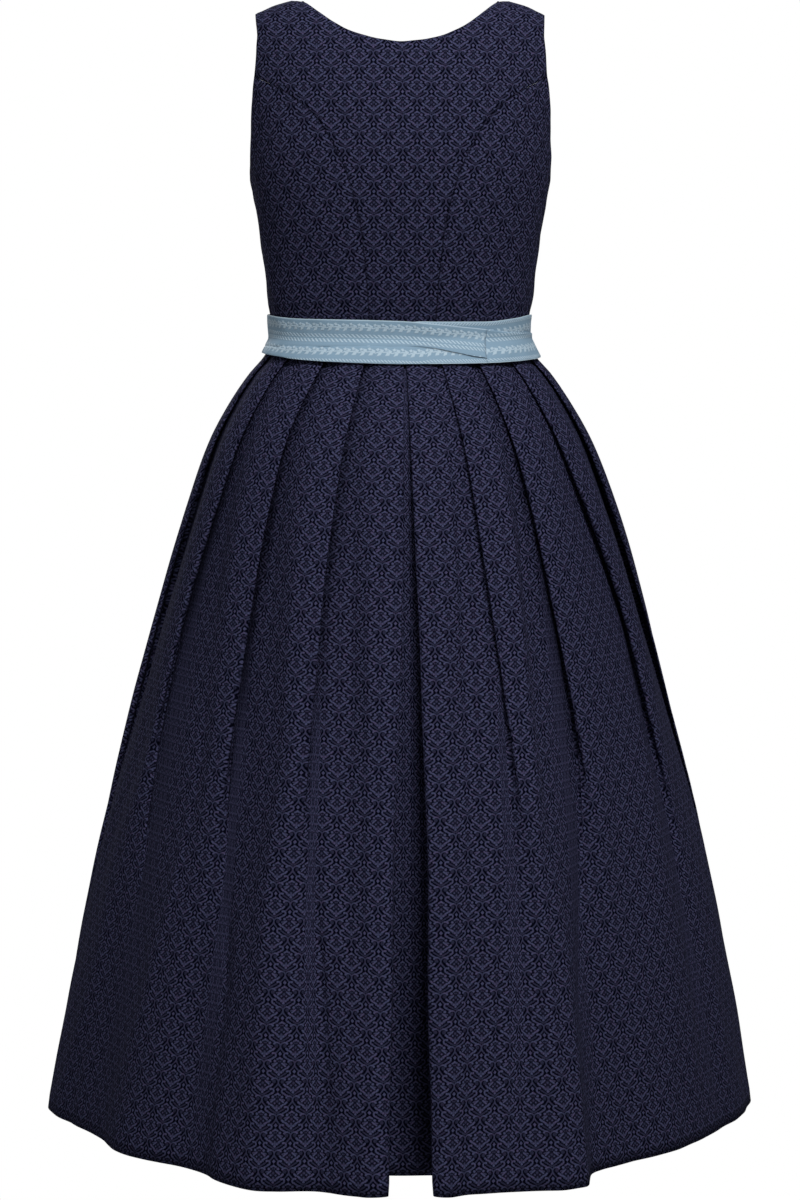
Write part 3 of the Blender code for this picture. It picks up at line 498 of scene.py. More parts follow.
def body_point(angle, level):
    """A point of the bodice's outer form, from its angle round the body and its level.

    Each level is a superellipse as wide and deep as the table says. Its height goes with the square
    of the level from the shoulder's slope down to the waist. In front a round bump on either side
    lifts the cloth off it for the bust, and fades out towards the side.
    """
    angle, level = np.broadcast_arrays(np.asarray(angle, float), np.asarray(level, float))
    left, back = rounded(angle, BODY_SQUARENESS)
    is_back = np.cos(angle) >= 0
    x = column(BODY_FORM, 1, level) * left
    y = np.where(is_back, column(BODY_FORM, 2, level), column(BODY_FORM, 3, level)) * back
    beyond = NECK_HALF - np.abs(x)
    slope = np.where(beyond > 0, NECK_SLOPE, SHOULDER_SLOPE)
    z = (STRAP_RISE + slope * beyond) * (1 - level**2) - WAIST_DROP * level**2
    spread = ((np.abs(x) - BUST_OUT) / BUST_SPREAD) ** 2 + ((z + BUST_DROP) / BUST_SPREAD) ** 2
    y = y - BUST_RISE * np.exp(-spread) * ease(-back, 0.0, BUST_BLEND)
    return np.stack([x, y, z], axis=-1)


def on_body(out, drop, front=False):
    """The angle and level at which the bodice's form lies a given way out and down, on the left.

    The level is found by halving, and the angle then follows from the superellipse.
    """
    out, drop = np.broadcast_arrays(np.asarray(out, float), np.asarray(drop, float))
    low, high = np.zeros(out.shape), np.ones(out.shape)
    beyond = NECK_HALF - out
    top = STRAP_RISE + np.where(beyond > 0, NECK_SLOPE, SHOULDER_SLOPE) * beyond
    for _ in range(40):
        level = (low + high) / 2
        too_high = top * (1 - level**2) - WAIST_DROP * level**2 > -drop
        low = np.where(too_high, level, low)
        high = np.where(too_high, high, level)
    left = share(out, 0, column(BODY_FORM, 1, high))
    angle = np.arctan2(left, (1 - left**BODY_SQUARENESS) ** (1 / BODY_SQUARENESS))
    return np.stack([np.pi - angle if front else angle, high], axis=-1)


def on_form(half_width, depth, squareness, angle, drop, outwards):
    """A point of a rounded form at an angle and a drop, moved outwards from it.

    The form is a level superellipse. Outwards is square to the plain ellipse of the same size.
    """
    left, back = rounded(angle, squareness)
    side, rear = np.sin(angle) / half_width, np.cos(angle) / depth
    length = np.hypot(side, rear)
    x = half_width * left + outwards * side / length
    y = depth * back + outwards * rear / length
    return np.stack([x, y, -drop], axis=-1)


def skirt_point(angle, drop, outwards):
    """A point of the skirt's form at an angle and a drop, moved outwards from it.

    Its width has its own value on each side, and its depth its own at the back and at the front.
    """
    angle, drop, outwards = np.broadcast_arrays(angle, drop, outwards)
    on_left, is_back = np.sin(angle) >= 0, np.cos(angle) >= 0
    half_width = np.where(on_left, column(SKIRT_FORM, 1, drop), column(SKIRT_FORM, 5, drop))
    depth = np.where(is_back, column(SKIRT_FORM, 2, drop), column(SKIRT_FORM, 3, drop))
    return on_form(half_width, depth, column(SKIRT_FORM, 4, drop), angle, drop, outwards)


def band_point(angle, drop, outwards):
    """A point of the band's inner form, straight above and below its bend, moved outwards."""
    angle, drop, outwards = np.broadcast_arrays(angle, drop, outwards)
    half_width, back, front = (np.interp(drop, BAND_FORM[:, 0], BAND_FORM[:, k]) for k in (1, 2, 3))
    depth = np.where(np.cos(angle) >= 0, back, front)
    return on_form(half_width, depth, BAND_SQUARENESS, angle, drop, outwards)


def skirt_speed(angle, drop):
    """How many metres round the skirt's form one radian of angle is, from two points beside it."""
    step = 0.01
    ahead = skirt_point(angle + step, drop, 0.0)
    behind = skirt_point(angle - step, drop, 0.0)
    return np.linalg.norm(ahead - behind, axis=-1) / (2 * step)


def ripple(across, along, sizes, seed):
    """A soft uneven relief: a sum of slow waves over two lengths in metres, each (height, period
    across, period along, bend), with phases that follow from the seed."""
    total = np.zeros(np.broadcast(across, along).shape)
    for k, (height, wide, tall, bend) in enumerate(sizes):
        phase = 2.399 * (seed + k) * (k + 1)
        swing = bend * np.sin(2 * np.pi * along / tall + phase)
        total += height * np.sin(2 * np.pi * (across / wide + swing) + 1.7 * phase)
    return total


# ---------------------------------------------------------------------------------------------
# Meshes
# ---------------------------------------------------------------------------------------------
def surface_normals(points):
    """Outward normals of a grid of points whose rows run down and columns run round the body.

    A normal is square to the lines between the point's neighbours along its row and its column.
    """
    down = np.gradient(points, axis=0)
    across = np.gradient(points, axis=1)
    normal = np.cross(across, down)
    length = np.linalg.norm(normal, axis=-1, keepdims=True)
    return normal / np.where(length > 0, length, 1.0)


def cloth_piece(name, points, grain, finish, thickness, ring=False, shade=0.0):
    """A thin shell on a grid of points, with its grain as a UV map in metres.

    Points that are not a number are left out. With ring the last column meets the first again.
    Shade is the painted shade at each point, from 0 to 1, for the darkness in a seam or under a fold.
    """
    present = np.isfinite(points[..., 0])
    index = np.where(present, np.cumsum(present).reshape(present.shape) - 1, -1)
    if ring:
        index = np.hstack([index, index[:, :1]])
        grain = np.concatenate([grain, grain[:, :1] + (grain[:, -1:] - grain[:, -2:-1])
                                + (grain[:, -1:] - grain[:, :1]) * (1, 0)], axis=1)
    cells = np.stack([index[:-1, :-1], index[:-1, 1:], index[1:, 1:], index[1:, :-1]], axis=-1)
    maps = np.stack([grain[:-1, :-1], grain[:-1, 1:], grain[1:, 1:], grain[1:, :-1]], axis=-2)
    keep = (cells >= 0).all(axis=-1)
    cells, maps = cells[keep], maps[keep]
    vertices = points[present]
    mesh = bpy.data.meshes.new(name)
    mesh.vertices.add(len(vertices))
    mesh.vertices.foreach_set("co", vertices.ravel())
    mesh.loops.add(cells.size)
    mesh.loops.foreach_set("vertex_index", cells.ravel())
    mesh.polygons.add(len(cells))
    mesh.polygons.foreach_set("loop_start", np.arange(0, cells.size, 4))
    layer = mesh.uv_layers.new(name="Grain")
    layer.data.foreach_set("uv", maps.reshape(-1))
    # the painted shade of each point, which the materials mix into the colour
    painted_shade = mesh.attributes.new("Shade", "FLOAT", "POINT")
    painted_shade.data.foreach_set("value", np.broadcast_to(shade, present.shape)[present].astype(float))
    mesh.update(calc_edges=True)
    mesh.validate()
    mesh.shade_smooth()
    mesh.materials.append(finish)
    piece = bpy.data.objects.new(name, mesh)
    bpy.context.scene.collection.objects.link(piece)
    shell = piece.modifiers.new("Thickness", "SOLIDIFY")
    shell.thickness = thickness
    shell.offset = -1.0
    shell.use_even_offset = False
    return piece


def cloth_area(points):
    """The area of a grid of points in square metres: half the product of each cell's diagonals,
    as vectors."""
    a = points[1:, 1:] - points[:-1, :-1]
    b = points[1:, :-1] - points[:-1, 1:]
    cells = np.linalg.norm(np.cross(a, b), axis=-1) / 2
    return float(np.nansum(cells))


def run_along(points):
    """The length of cloth from the first column of a grid of points to each of the others."""
    length = np.linalg.norm(np.diff(points, axis=-2), axis=-1)
    start = np.zeros((*length.shape[:-1], 1))
    return np.concatenate([start, np.cumsum(length, axis=-1)], axis=-1)


def declare(piece, node, flat, points):
    """Parents a piece to the body's root empty and hides its solid. It works out the piece's true area
    but keeps it nowhere; flat, the box of its flat cloth, is not used.
    """
    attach(piece, "root")
    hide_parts(node)
    cloth_area(points)


def grain_box(points, grain):
    """The width and length of a piece laid flat, from its grain in metres."""
    return np.ptp(grain[np.isfinite(points[..., 0])], axis=0)


def strip_cut(points):
    """The size of a straight strip laid flat: the length of its longest row and longest column."""
    return run_along(points)[:, -1].max(), run_along(points.swapaxes(0, 1))[:, -1].max()


# ---------------------------------------------------------------------------------------------
# Materials
# ---------------------------------------------------------------------------------------------
class Field:
    """A number at each point of a surface, built from math nodes by ordinary arithmetic."""

    def __init__(self, tree, socket):
        self.tree = tree
        self.socket = socket

    def make(self, operation, *values):
        """A math node of one operation on this field and other fields or numbers."""
        node = self.tree.nodes.new("ShaderNodeMath")
        node.operation = operation
        for socket, value in zip(node.inputs, (self, *values)):
            if isinstance(value, Field):
                self.tree.links.new(value.socket, socket)
            else:
                socket.default_value = value
        return Field(self.tree, node.outputs[0])

    def __add__(self, other):
        return self.make("ADD", other)

    def __sub__(self, other):
        return self.make("SUBTRACT", other)

    def __mul__(self, other):
        return self.make("MULTIPLY", other)

    def __truediv__(self, other):
        return self.make("DIVIDE", other)

    def __abs__(self):
        return self.make("ABSOLUTE")

    def above(self, limit, soft):
        """1 where the field is over a limit and 0 below it, with a soft step between."""
        node = self.tree.nodes.new("ShaderNodeMapRange")
        self.tree.links.new(self.socket, node.inputs["Value"])
        node.inputs["From Min"].default_value = limit - soft
        node.inputs["From Max"].default_value = limit + soft
        return Field(self.tree, node.outputs["Result"])

    def below(self, limit, soft):
        """1 where the field is under a limit and 0 over it, with a soft step between."""
        return (self * -1.0).above(-limit, soft)

    def most(self, *others):
        """The largest of this field and others."""
        field = self
        for other in others:
            field = field.make("MAXIMUM", other)
        return field

    def least(self, *others):
        """The smallest of this field and others."""
        field = self
        for other in others:
            field = field.make("MINIMUM", other)
        return field


def distance(x, y, centre):
    """The distance of (x, y) from a point."""
    dx, dy = x - centre[0], y - centre[1]
    return (dx * dx + dy * dy).make("SQRT")


def lozenge(x, y, centre, half, soft=0.18):
    """A small diamond at a centre, with half its width and height."""
    return (abs(x - centre[0]) / half[0] + abs(y - centre[1]) / half[1]).below(1.0, soft)


def stroke(x, y, start, end):
    """The distance of (x, y) from a straight stroke between two points."""
    run, rise = end[0] - start[0], end[1] - start[1]
    dx, dy = x - start[0], y - start[1]
    way = ((dx * run + dy * rise) / (run * run + rise * rise)).most(0.0).least(1.0)
    dx, dy = dx - way * run, dy - way * rise
    return (dx * dx + dy * dy).make("SQRT")


def dot(x, y, centre, radius):
    """A round spot with a soft edge."""
    return distance(x, y, centre).below(radius, 0.35)


def line(x, y, start, end, width=0.55):
    """A straight thread line between two points, with a soft edge."""
    return stroke(x, y, start, end).below(width, 0.3)


def jacquard_figure(x, y):
    """How light one flower of the jacquard is at a point of its cell, in millimetres.

    Round a grey heart stand two slanted bars, a wing of two strokes on either side, an arch of
    spots above and a palmette of three spots below. At either side a half ring curls over a grey
    filling, runs down through the point where it meets the next flower's ring, and turns up below
    in a hook, whose foot joins the ring of the flower below. A small diamond stands above. All of
    it is the same left and right.
    """
    x = abs(x)
    core = distance(x, y, (0.0, -0.6)).below(6.5, 2.5) * 0.10
    heart = dot(x, y, (0.0, 0.0), 1.2) * 0.5
    bars = line(x, y, (2.3, 2.0), (5.6, -0.7), 0.7)
    bars = bars.most(line(x, y, (4.3, 1.6), (6.6, 1.0), 0.6) * 0.7,
                     dot(x, y, (2.2, -1.8), 0.8) * 0.9)
    wing = line(x, y, (8.7, -0.9), (7.1, -2.4), 0.85)
    wing = wing.most(line(x, y, (5.7, -3.0), (3.6, -4.3), 0.8),
                     line(x, y, (7.1, -2.4), (5.7, -3.0), 0.5) * 0.6)
    arch = line(x, y, (0.0, 6.7), (2.3, 5.5), 0.75) * 0.85
    arch = arch.most(dot(x, y, (4.2, 3.9), 1.15), dot(x, y, (0.0, 6.8), 0.95),
                     dot(x, y, (0.8, 3.8), 0.7) * 0.5)
    palmette = line(x, y, (3.6, -5.0), (1.6, -6.0), 1.1) * 0.6
    palmette = palmette.most(dot(x, y, (1.9, -6.2), 1.0), dot(x, y, (0.0, -8.0), 1.15),
                             line(x, y, (0.0, -4.0), (0.0, -6.4), 0.9) * 0.6)
    ring = abs(distance(x, y, (10.6, 1.1)) - 3.45).below(0.66, 0.3).least((x + y).above(11.0, 0.4))
    ring = ring * ((x * -0.4 + 4.8).most(0.0).least(0.4) + 0.58)
    ring = ring.most(dot(x, y, (8.2, 3.5), 0.95), dot(x, y, (10.2, 1.6), 1.7) * 0.32,
                     line(x, y, (13.4, -1.2), (10.1, -4.8), 0.6) * 0.55)
    hook = abs(distance(x, y, (8.4, -6.9)) - 1.95).below(0.75, 0.3).least(x.above(7.8, 0.3)) * 0.85
    hook = hook.most(dot(x, y, (7.5, -5.2), 1.0), line(x, y, (9.2, -8.8), (4.3, -11.5), 0.7) * 0.8)
    band = line(x, y, (6.4, -6.9), (0.6, -10.5), 0.7) * 0.4
    diamond = lozenge(x, y, (0.0, 10.5), (1.6, 1.9)) * 0.9
    return core.most(heart, bars, wing, arch, palmette, ring, hook, band, diamond)


def motif_group():
    """A node group that draws one flower of the jacquard in its cell."""
    group = bpy.data.node_groups.new("Jacquard Motif", "ShaderNodeTree")
    group.interface.new_socket("X", in_out="INPUT", socket_type="NodeSocketFloat")
    group.interface.new_socket("Y", in_out="INPUT", socket_type="NodeSocketFloat")
    group.interface.new_socket("Light", in_out="OUTPUT", socket_type="NodeSocketFloat")
    entry = group.nodes.new("NodeGroupInput")
    leave = group.nodes.new("NodeGroupOutput")
    light = jacquard_figure(Field(group, entry.outputs["X"]), Field(group, entry.outputs["Y"]))
    group.links.new(light.socket, leave.inputs["Light"])
    return group


def grain_fields(tree):
    """The grain's two coordinates in millimetres."""
    grain = tree.nodes.new("ShaderNodeUVMap")
    grain.uv_map = "Grain"
    split = tree.nodes.new("ShaderNodeSeparateXYZ")
    tree.links.new(grain.outputs["UV"], split.inputs["Vector"])
    return Field(tree, split.outputs["X"]) * 1000.0, Field(tree, split.outputs["Y"]) * 1000.0


def add_painted_shade(tree, colour, strength):
    """A colour darkened towards near black by the painted shade in the Shade attribute, which stands in
    for the shade in seams and under folds.
    """
    painted_shade = tree.nodes.new("ShaderNodeAttribute")
    painted_shade.attribute_name = "Shade"
    dark = Field(tree, painted_shade.outputs["Fac"]) * strength
    return mix_colours(tree, dark, colour, PAINTED_SHADE_NAVY)


def noise(tree, x, y, scale_x, scale_y, detail=2.0):
    """Uneven grey over the grain, from 0 to 1, with its own scale each way."""
    place = tree.nodes.new("ShaderNodeCombineXYZ")
    tree.links.new((x * scale_x).socket, place.inputs["X"])
    tree.links.new((y * scale_y).socket, place.inputs["Y"])
    node = tree.nodes.new("ShaderNodeTexNoise")
    node.inputs["Scale"].default_value = 1.0
    node.inputs["Detail"].default_value = detail
    tree.links.new(place.outputs["Vector"], node.inputs["Vector"])
    return Field(tree, node.outputs["Fac"])


def mix_colours(tree, amount, first, second):
    """A colour that goes from the first to the second with a field."""
    node = tree.nodes.new("ShaderNodeMix")
    node.data_type = "RGBA"
    tree.links.new(amount.socket, node.inputs["Factor"])
    for socket, value in ((node.inputs[6], first), (node.inputs[7], second)):
        if isinstance(value, bpy.types.NodeSocket):
            tree.links.new(value, socket)
        else:
            socket.default_value = (*value, 1.0)
    return node.outputs[2]


def new_material(name, roughness, gloss, sheen, sheen_tint):
    """A cloth material with its shader's constants set."""
    finish = bpy.data.materials.new(name)
    finish.use_nodes = True
    shader = finish.node_tree.nodes["Principled BSDF"]
    shader.inputs["Roughness"].default_value = roughness
    shader.inputs["Specular IOR Level"].default_value = gloss
    shader.inputs["Sheen Weight"].default_value = sheen
    shader.inputs["Sheen Roughness"].default_value = 0.45
    shader.inputs["Sheen Tint"].default_value = (*sheen_tint, 1.0)
    return finish, finish.node_tree, shader


def add_bump(tree, shader, height, strength, reach):
    """A relief on a shader's normal from a field; reach is its height in metres."""
    bump = tree.nodes.new("ShaderNodeBump")
    bump.inputs["Strength"].default_value = strength
    bump.inputs["Distance"].default_value = reach
    tree.links.new(height.socket, bump.inputs["Height"])
    tree.links.new(bump.outputs["Normal"], shader.inputs["Normal"])


def jacquard(settings):
    """The navy cotton jacquard: a half-drop repeat of the flower in two pale thread colours."""
    finish, tree, shader = new_material("Navy jacquard", 0.85, 0.025, settings.sheen, (0.5, 0.55, 0.85))
    motif = motif_group()
    u, v = grain_fields(tree)
    thread = settings.thread * 1000.0
    snapped_u = (u / thread).make("FLOOR") * thread
    snapped_v = (v / thread).make("FLOOR") * thread
    width, height = settings.motif_width * 1000.0, settings.motif_height * 1000.0
    lights = []
    for shift in (0.0, 0.5):
        cell = tree.nodes.new("ShaderNodeGroup")
        cell.node_tree = motif
        across = ((snapped_u / width + shift).make("FRACT") - 0.5) * CELL_WIDTH
        along = ((snapped_v / height + shift).make("FRACT") - 0.5) * CELL_HEIGHT
        tree.links.new(across.socket, cell.inputs["X"])
        tree.links.new(along.socket, cell.inputs["Y"])
        lights.append(Field(tree, cell.outputs["Light"]))
    light = lights[0].most(lights[1])
    grains = noise(tree, u, v, 1.1, 0.35, 1.0)
    light = light * (grains * 0.7 + 0.62) + (grains - 0.5) * 0.22
    light = light.most(0.0).least(1.0)
    tint = noise(tree, u, v, 0.16, 0.45, 2.0).above(0.56, 0.1)
    pale = mix_colours(tree, tint, tuple(settings.light), tuple(settings.light_two))
    colour = mix_colours(tree, light, tuple(settings.ground), pale)
    # painted shade: the colour goes darker in seams, along panel edges and beside pleat edges
    tree.links.new(add_painted_shade(tree, colour, 0.92), shader.inputs["Base Color"])
    warp = abs((u / 0.45).make("FRACT") - 0.5)
    weft = abs((v / 0.62).make("FRACT") - 0.5)
    add_bump(tree, shader, warp * 0.6 + weft * 0.4 + light * 0.35, 0.3, 0.00018)
    return finish


def ribbon(settings):
    """The pale blue ribbon: sprig borders, rope lines and plain stripes woven along it."""
    finish, tree, shader = new_material("Pale blue ribbon", 0.62, 0.25, 0.1, (0.8, 0.9, 1.0))
    u, v = grain_fields(tree)

    def rope(top, bottom, period):
        """A line of slanted dashes between two distances from the upper edge."""
        dash = ((u + v * 1.1) / period).make("FRACT")
        dash = abs(dash - 0.5).below(0.24, 0.08)
        return dash.least(v.above(top, 0.25), v.below(bottom, 0.25))

    def sprigs(middle, seed):
        """A running border of leaf pairs that lean to both sides of a wavy stem."""
        step = 7.8
        cell = (u / step + seed).make("FRACT") - 0.5
        turn = abs((u / (2 * step) + seed / 2).make("FRACT") - 0.5) * 4.0 - 1.0
        x = cell * step
        y = v - middle + turn * 0.5
        stem = abs(y - x * 0.25).below(0.55, 0.3)
        shape = lozenge(x * 0.78 + y * 0.62, y * 0.78 - x * 0.62, (1.2, 1.7), (3.3, 1.7), 0.25)
        other = lozenge(x * 0.70 - y * 0.71, y * 0.70 + x * 0.71, (-1.0, -1.8), (3.0, 1.5), 0.25)
        third = lozenge(x * 0.95 - y * 0.3, y * 0.95 + x * 0.3, (2.4, -1.5), (1.9, 1.6), 0.25)
        return stem.most(shape, other, third)

    figure = rope(14.2, 17.4, 4.3).most(rope(18.6, 21.8, 4.3), rope(38.0, 40.6, 3.2),
                                        sprigs(7.0, 0.1), sprigs(30.2, 0.55))
    edge = v.below(0.9, 0.3).most(v.above(41.1, 0.3))
    grains = noise(tree, u, v, 0.9, 0.9, 1.0)
    lit = (figure * (grains * 0.5 + 0.7)).most(edge * 0.8).least(1.0)
    broad = noise(tree, u, v, 0.035, 0.07, 2.0)
    cloth = mix_colours(tree, broad, tuple(settings.shade), tuple(settings.ground))
    colour = mix_colours(tree, lit, cloth, tuple(settings.light))
    # painted shade: the ribbon's colour goes darker just under the tuck's fold
    tree.links.new(add_painted_shade(tree, colour, 0.8), shader.inputs["Base Color"])
    rib = abs((v / 0.55).make("FRACT") - 0.5)
    twill = abs(((u + v) / 0.7).make("FRACT") - 0.5)
    add_bump(tree, shader, figure * 1.4 + rib * 0.35 + twill * 0.35, 0.5, 0.00035)
    return finish


def zip_tape():
    """The navy tape of the concealed zip, with a fine rib and its coil's line along the middle."""
    finish, tree, shader = new_material("Navy zip tape", 0.7, 0.2, 0.02, (0.5, 0.55, 0.8))
    u, v = grain_fields(tree)
    coil = abs(u).below(1.6, 0.3) * abs((v / 1.3).make("FRACT") - 0.5).below(0.3, 0.1)
    colour = mix_colours(tree, coil, (0.006, 0.007, 0.020), (0.020, 0.022, 0.050))
    tree.links.new(colour, shader.inputs["Base Color"])
    add_bump(tree, shader, coil * 2.0 + abs((u / 0.8).make("FRACT") - 0.5), 0.5, 0.0004)
    return finish


# ---------------------------------------------------------------------------------------------
# Bodice
# ---------------------------------------------------------------------------------------------
def crowded(count):
    """Shares from 0 to 1 that lie closer together near both ends, by a sine taken off even steps."""
    t = np.linspace(0, 1, count + 1)
    return t - 0.85 * np.sin(2 * np.pi * t) / (2 * np.pi)


def read_along(path, shares):
    """Places at given shares of the length of a path of (angle, level) places."""
    places = body_point(path[:, 0], path[:, 1])
    run = np.concatenate([[0.0], np.cumsum(np.linalg.norm(np.diff(places, axis=0), axis=1))])
    wanted = shares * run[-1]
    return np.stack([np.interp(wanted, run, path[:, 0]), np.interp(wanted, run, path[:, 1])], -1)


def edge_by_drop(table, front=False, samples=160):
    """An edge given as how far out it lies at each drop."""
    drop = np.linspace(table[0, 0], table[-1, 0], samples)
    return on_body(column(table, 1, drop), drop, front)


def edge_by_angle(table, samples=160):
    """An edge given as its angle at each drop, near the side seam."""
    drop = np.linspace(table[0, 0], table[-1, 0], samples)
    return np.stack([np.radians(column(table, 1, drop)), np.sqrt(drop / WAIST_DROP)], axis=-1)


def beside(path, metres):
    """A path that runs down, moved square to itself on the cloth, to the right seen from outside.

    The way to go is square to the path and to the form's normal. It is turned into steps of angle
    and level through the form's slopes along both.
    """
    step = 0.002
    angle, level = path[:, 0], path[:, 1]
    per_angle = (body_point(angle + step, level) - body_point(angle - step, level)) / (2 * step)
    per_level = (body_point(angle, level + step) - body_point(angle, level - step)) / (2 * step)
    run = np.gradient(path, axis=0)
    along = run[:, :1] * per_angle + run[:, 1:] * per_level
    square = np.cross(np.cross(per_angle, per_level), along)
    square = square * metres / np.linalg.norm(square, axis=-1, keepdims=True)
    moved = np.linalg.pinv(np.stack([per_angle, per_level], axis=-1)) @ square[..., None]
    return path + moved[..., 0]


def straight(start, end, shares):
    """(angle, level) places at shares of the way between two."""
    return (1 - shares[:, None]) * start + shares[:, None] * end


def patch(top, bottom, inner, outer, across, down):
    """A grid blended between four edges: top and bottom run from inner to outer.

    It is the straight blend from top to bottom plus the one from inner to outer, less the blend of
    the four corners, which would otherwise count twice.
    """
    across, down = across[None, :, None], down[:, None, None]
    rows = (1 - down) * top[None] + down * bottom[None]
    sides = (1 - across) * inner[:, None] + across * outer[:, None]
    corners = (1 - down) * ((1 - across) * top[0] + across * top[-1])
    corners = corners + down * ((1 - across) * bottom[0] + across * bottom[-1])
    return rows + sides - corners


def princess_parts(princess, distance, counts, front):
    """A princess seam above and below its turn, with its own number of steps in each, moved off the
    seam by a distance."""
    whole = edge_by_drop(princess, front)
    turn = int(np.argmin(np.abs(whole[:, 1] - np.sqrt(TURN_DROP / WAIST_DROP))))
    seam = np.vstack([read_along(whole[:turn + 1], crowded(counts[0])),
                      read_along(whole[turn:], crowded(counts[1]))[1:]])
    return beside(seam, distance)


def centre_panel(neckline, armhole, princess, front=False):
    """The places of one half of the centre back or front with its strap.

    Above the princess seam's turn it is a patch between neck and shoulder, the armhole with the
    seam's upper part, the centre line and a line across at the turn. Below, it is a patch between
    that line, the centre line, the rest of the seam and the waist. What lies outside has no number.
    """
    gap = -SEAM_GAP / 2 if front else SEAM_GAP / 2
    seam = princess_parts(princess, gap, (STRAP_COLUMNS, LOWER_ROWS), front)
    out = np.linspace(0, neckline[-1, 0], 200)
    cut = on_body(out, across_centre(neckline, out), front)
    corner = on_body(NECK_HALF, -SHOULDER_TRIM, front)
    corner[1] = SHOULDER_TRIM
    end = on_body(SHOULDER_HALF, 0.05, front)
    end[1] = SHOULDER_TRIM
    top = np.vstack([cut, corner, straight(corner, end, np.linspace(0, 1, 30))[1:]])
    lengths = np.concatenate([crowded(CENTRE_COLUMNS) * CENTRE_SHARE,
                              CENTRE_SHARE + crowded(STRAP_COLUMNS)[1:] * (1 - CENTRE_SHARE)])
    top = read_along(top, lengths)
    outer = np.vstack([top[-1], edge_by_drop(armhole, front)[:-1], seam[0]])
    outer = read_along(outer, crowded(YOKE_ROWS))
    centre_angle = np.pi - SEAM_GAP / 2 / BODY_FORM[-1, 3] if front else 0.0
    waist_centre = np.array([centre_angle, 1.0])
    top[0, 0] = centre_angle
    middle = np.array([centre_angle, seam[STRAP_COLUMNS, 1] + 0.01])
    yoke_line = straight(middle, seam[STRAP_COLUMNS], crowded(CENTRE_COLUMNS))
    bottom = np.vstack([yoke_line, seam[STRAP_COLUMNS - 1::-1]])
    down = crowded(YOKE_ROWS)
    yoke = patch(top, bottom, straight(top[0], middle, down), outer, lengths, down)
    down = crowded(LOWER_ROWS)
    waist = straight(waist_centre, seam[-1], crowded(CENTRE_COLUMNS))
    lower = patch(yoke_line, waist, straight(middle, waist_centre, down), seam[STRAP_COLUMNS:],
                  crowded(CENTRE_COLUMNS), down)
    missing = np.full((LOWER_ROWS, STRAP_COLUMNS, 2), np.nan)
    return np.vstack([yoke, np.hstack([lower[1:], missing])])


def side_panel(princess, underarm, front=False):
    """The places of a side panel: a patch between armhole, princess seam, side seam and waist."""
    toward_side = SEAM_GAP / 2 if front else -SEAM_GAP / 2
    seam = princess_parts(princess, toward_side, (STRAP_COLUMNS, LOWER_ROWS), front)
    down = np.linspace(0, 1, len(seam))
    across = crowded(40)
    armhole = read_along(edge_by_angle(underarm), across)
    near_seam = np.clip(1 - SIDE_COLUMNS * across, 0, 1)[:, None]
    armhole = armhole + near_seam * (seam[0] - armhole[0])
    side = np.stack([np.full(len(down), armhole[-1, 0]),
                     armhole[-1, 1] + (1 - armhole[-1, 1]) * down], axis=-1)
    side = beside(side, -toward_side)
    armhole[-1] = side[0]
    bottom = straight(seam[-1], side[-1], across)
    return patch(armhole, bottom, seam, side, across, down)


def body_arcs():
    """Tables of the cloth's length across from the centre back and up from the waist.

    They add up the straight ways between points a degree of angle, or a step of level, apart. The
    angles go on for a margin beyond both centres.
    """
    margin = 2
    angle = np.radians(np.arange(-margin, 181 + margin))
    level = np.linspace(0.0, 1.0, 121)
    points = body_point(angle[:, None], level[None])
    across = run_along(points.swapaxes(0, 1)).T
    across = across - across[margin]
    down = run_along(points)
    return angle, level, across, down[:, -1:] - down


def body_grain(places, arcs):
    """The cloth's grain at places on the left half: metres round from the back, metres up.

    Both are read from the tables, blended straight between their four nearest entries.
    """
    angle, level, across, up = arcs
    a = np.clip((places[..., 0] - angle[0]) / (angle[1] - angle[0]), 0, len(angle) - 1.001)
    b = np.clip(places[..., 1] / (level[1] - level[0]), 0, len(level) - 1.001)
    a, b = np.nan_to_num(a), np.nan_to_num(b)
    i, j = a.astype(int), b.astype(int)
    a, b = a - i, b - j

    def read(table):
        low = table[i, j] * (1 - b) + table[i, j + 1] * b
        high = table[i + 1, j] * (1 - b) + table[i + 1, j + 1] * b
        return low * (1 - a) + high * a

    return np.stack([read(across), read(up)], axis=-1)


def nearness(points, reach):
    """How near each point of a grid is to the panel's edges: 1 on an edge, fading with a reach."""
    present = np.isfinite(points[..., 0])
    filled = np.pad(present, 1)
    inner = filled[:-2, 1:-1] & filled[2:, 1:-1] & filled[1:-1, :-2] & filled[1:-1, 2:]
    rim, cloth = points[present & ~inner], points[present]
    away = np.full(len(cloth), np.inf)
    for k in range(0, len(rim), 64):
        to_some = np.linalg.norm(cloth[:, None] - rim[None, k:k + 64], axis=-1)
        away = np.minimum(away, to_some.min(axis=1))
    near = np.zeros(points.shape[:2])
    near[present] = np.exp(-(away / reach) ** 1.5)
    return near


def bodice_relief(around, up, angle):
    """The bodice's ripples, with short upright ones over the waist and none at the centre front."""
    relief = ripple(around, up, BODICE_RIPPLE, BODICE_SEED)
    near_waist = ease(up, WAIST_RIPPLE_REACH, 0.0)
    relief = relief + near_waist * ripple(around, up, WAIST_RIPPLE, BODICE_SEED)
    return relief * ease(np.pi - np.nan_to_num(angle), 0.0, 0.25)


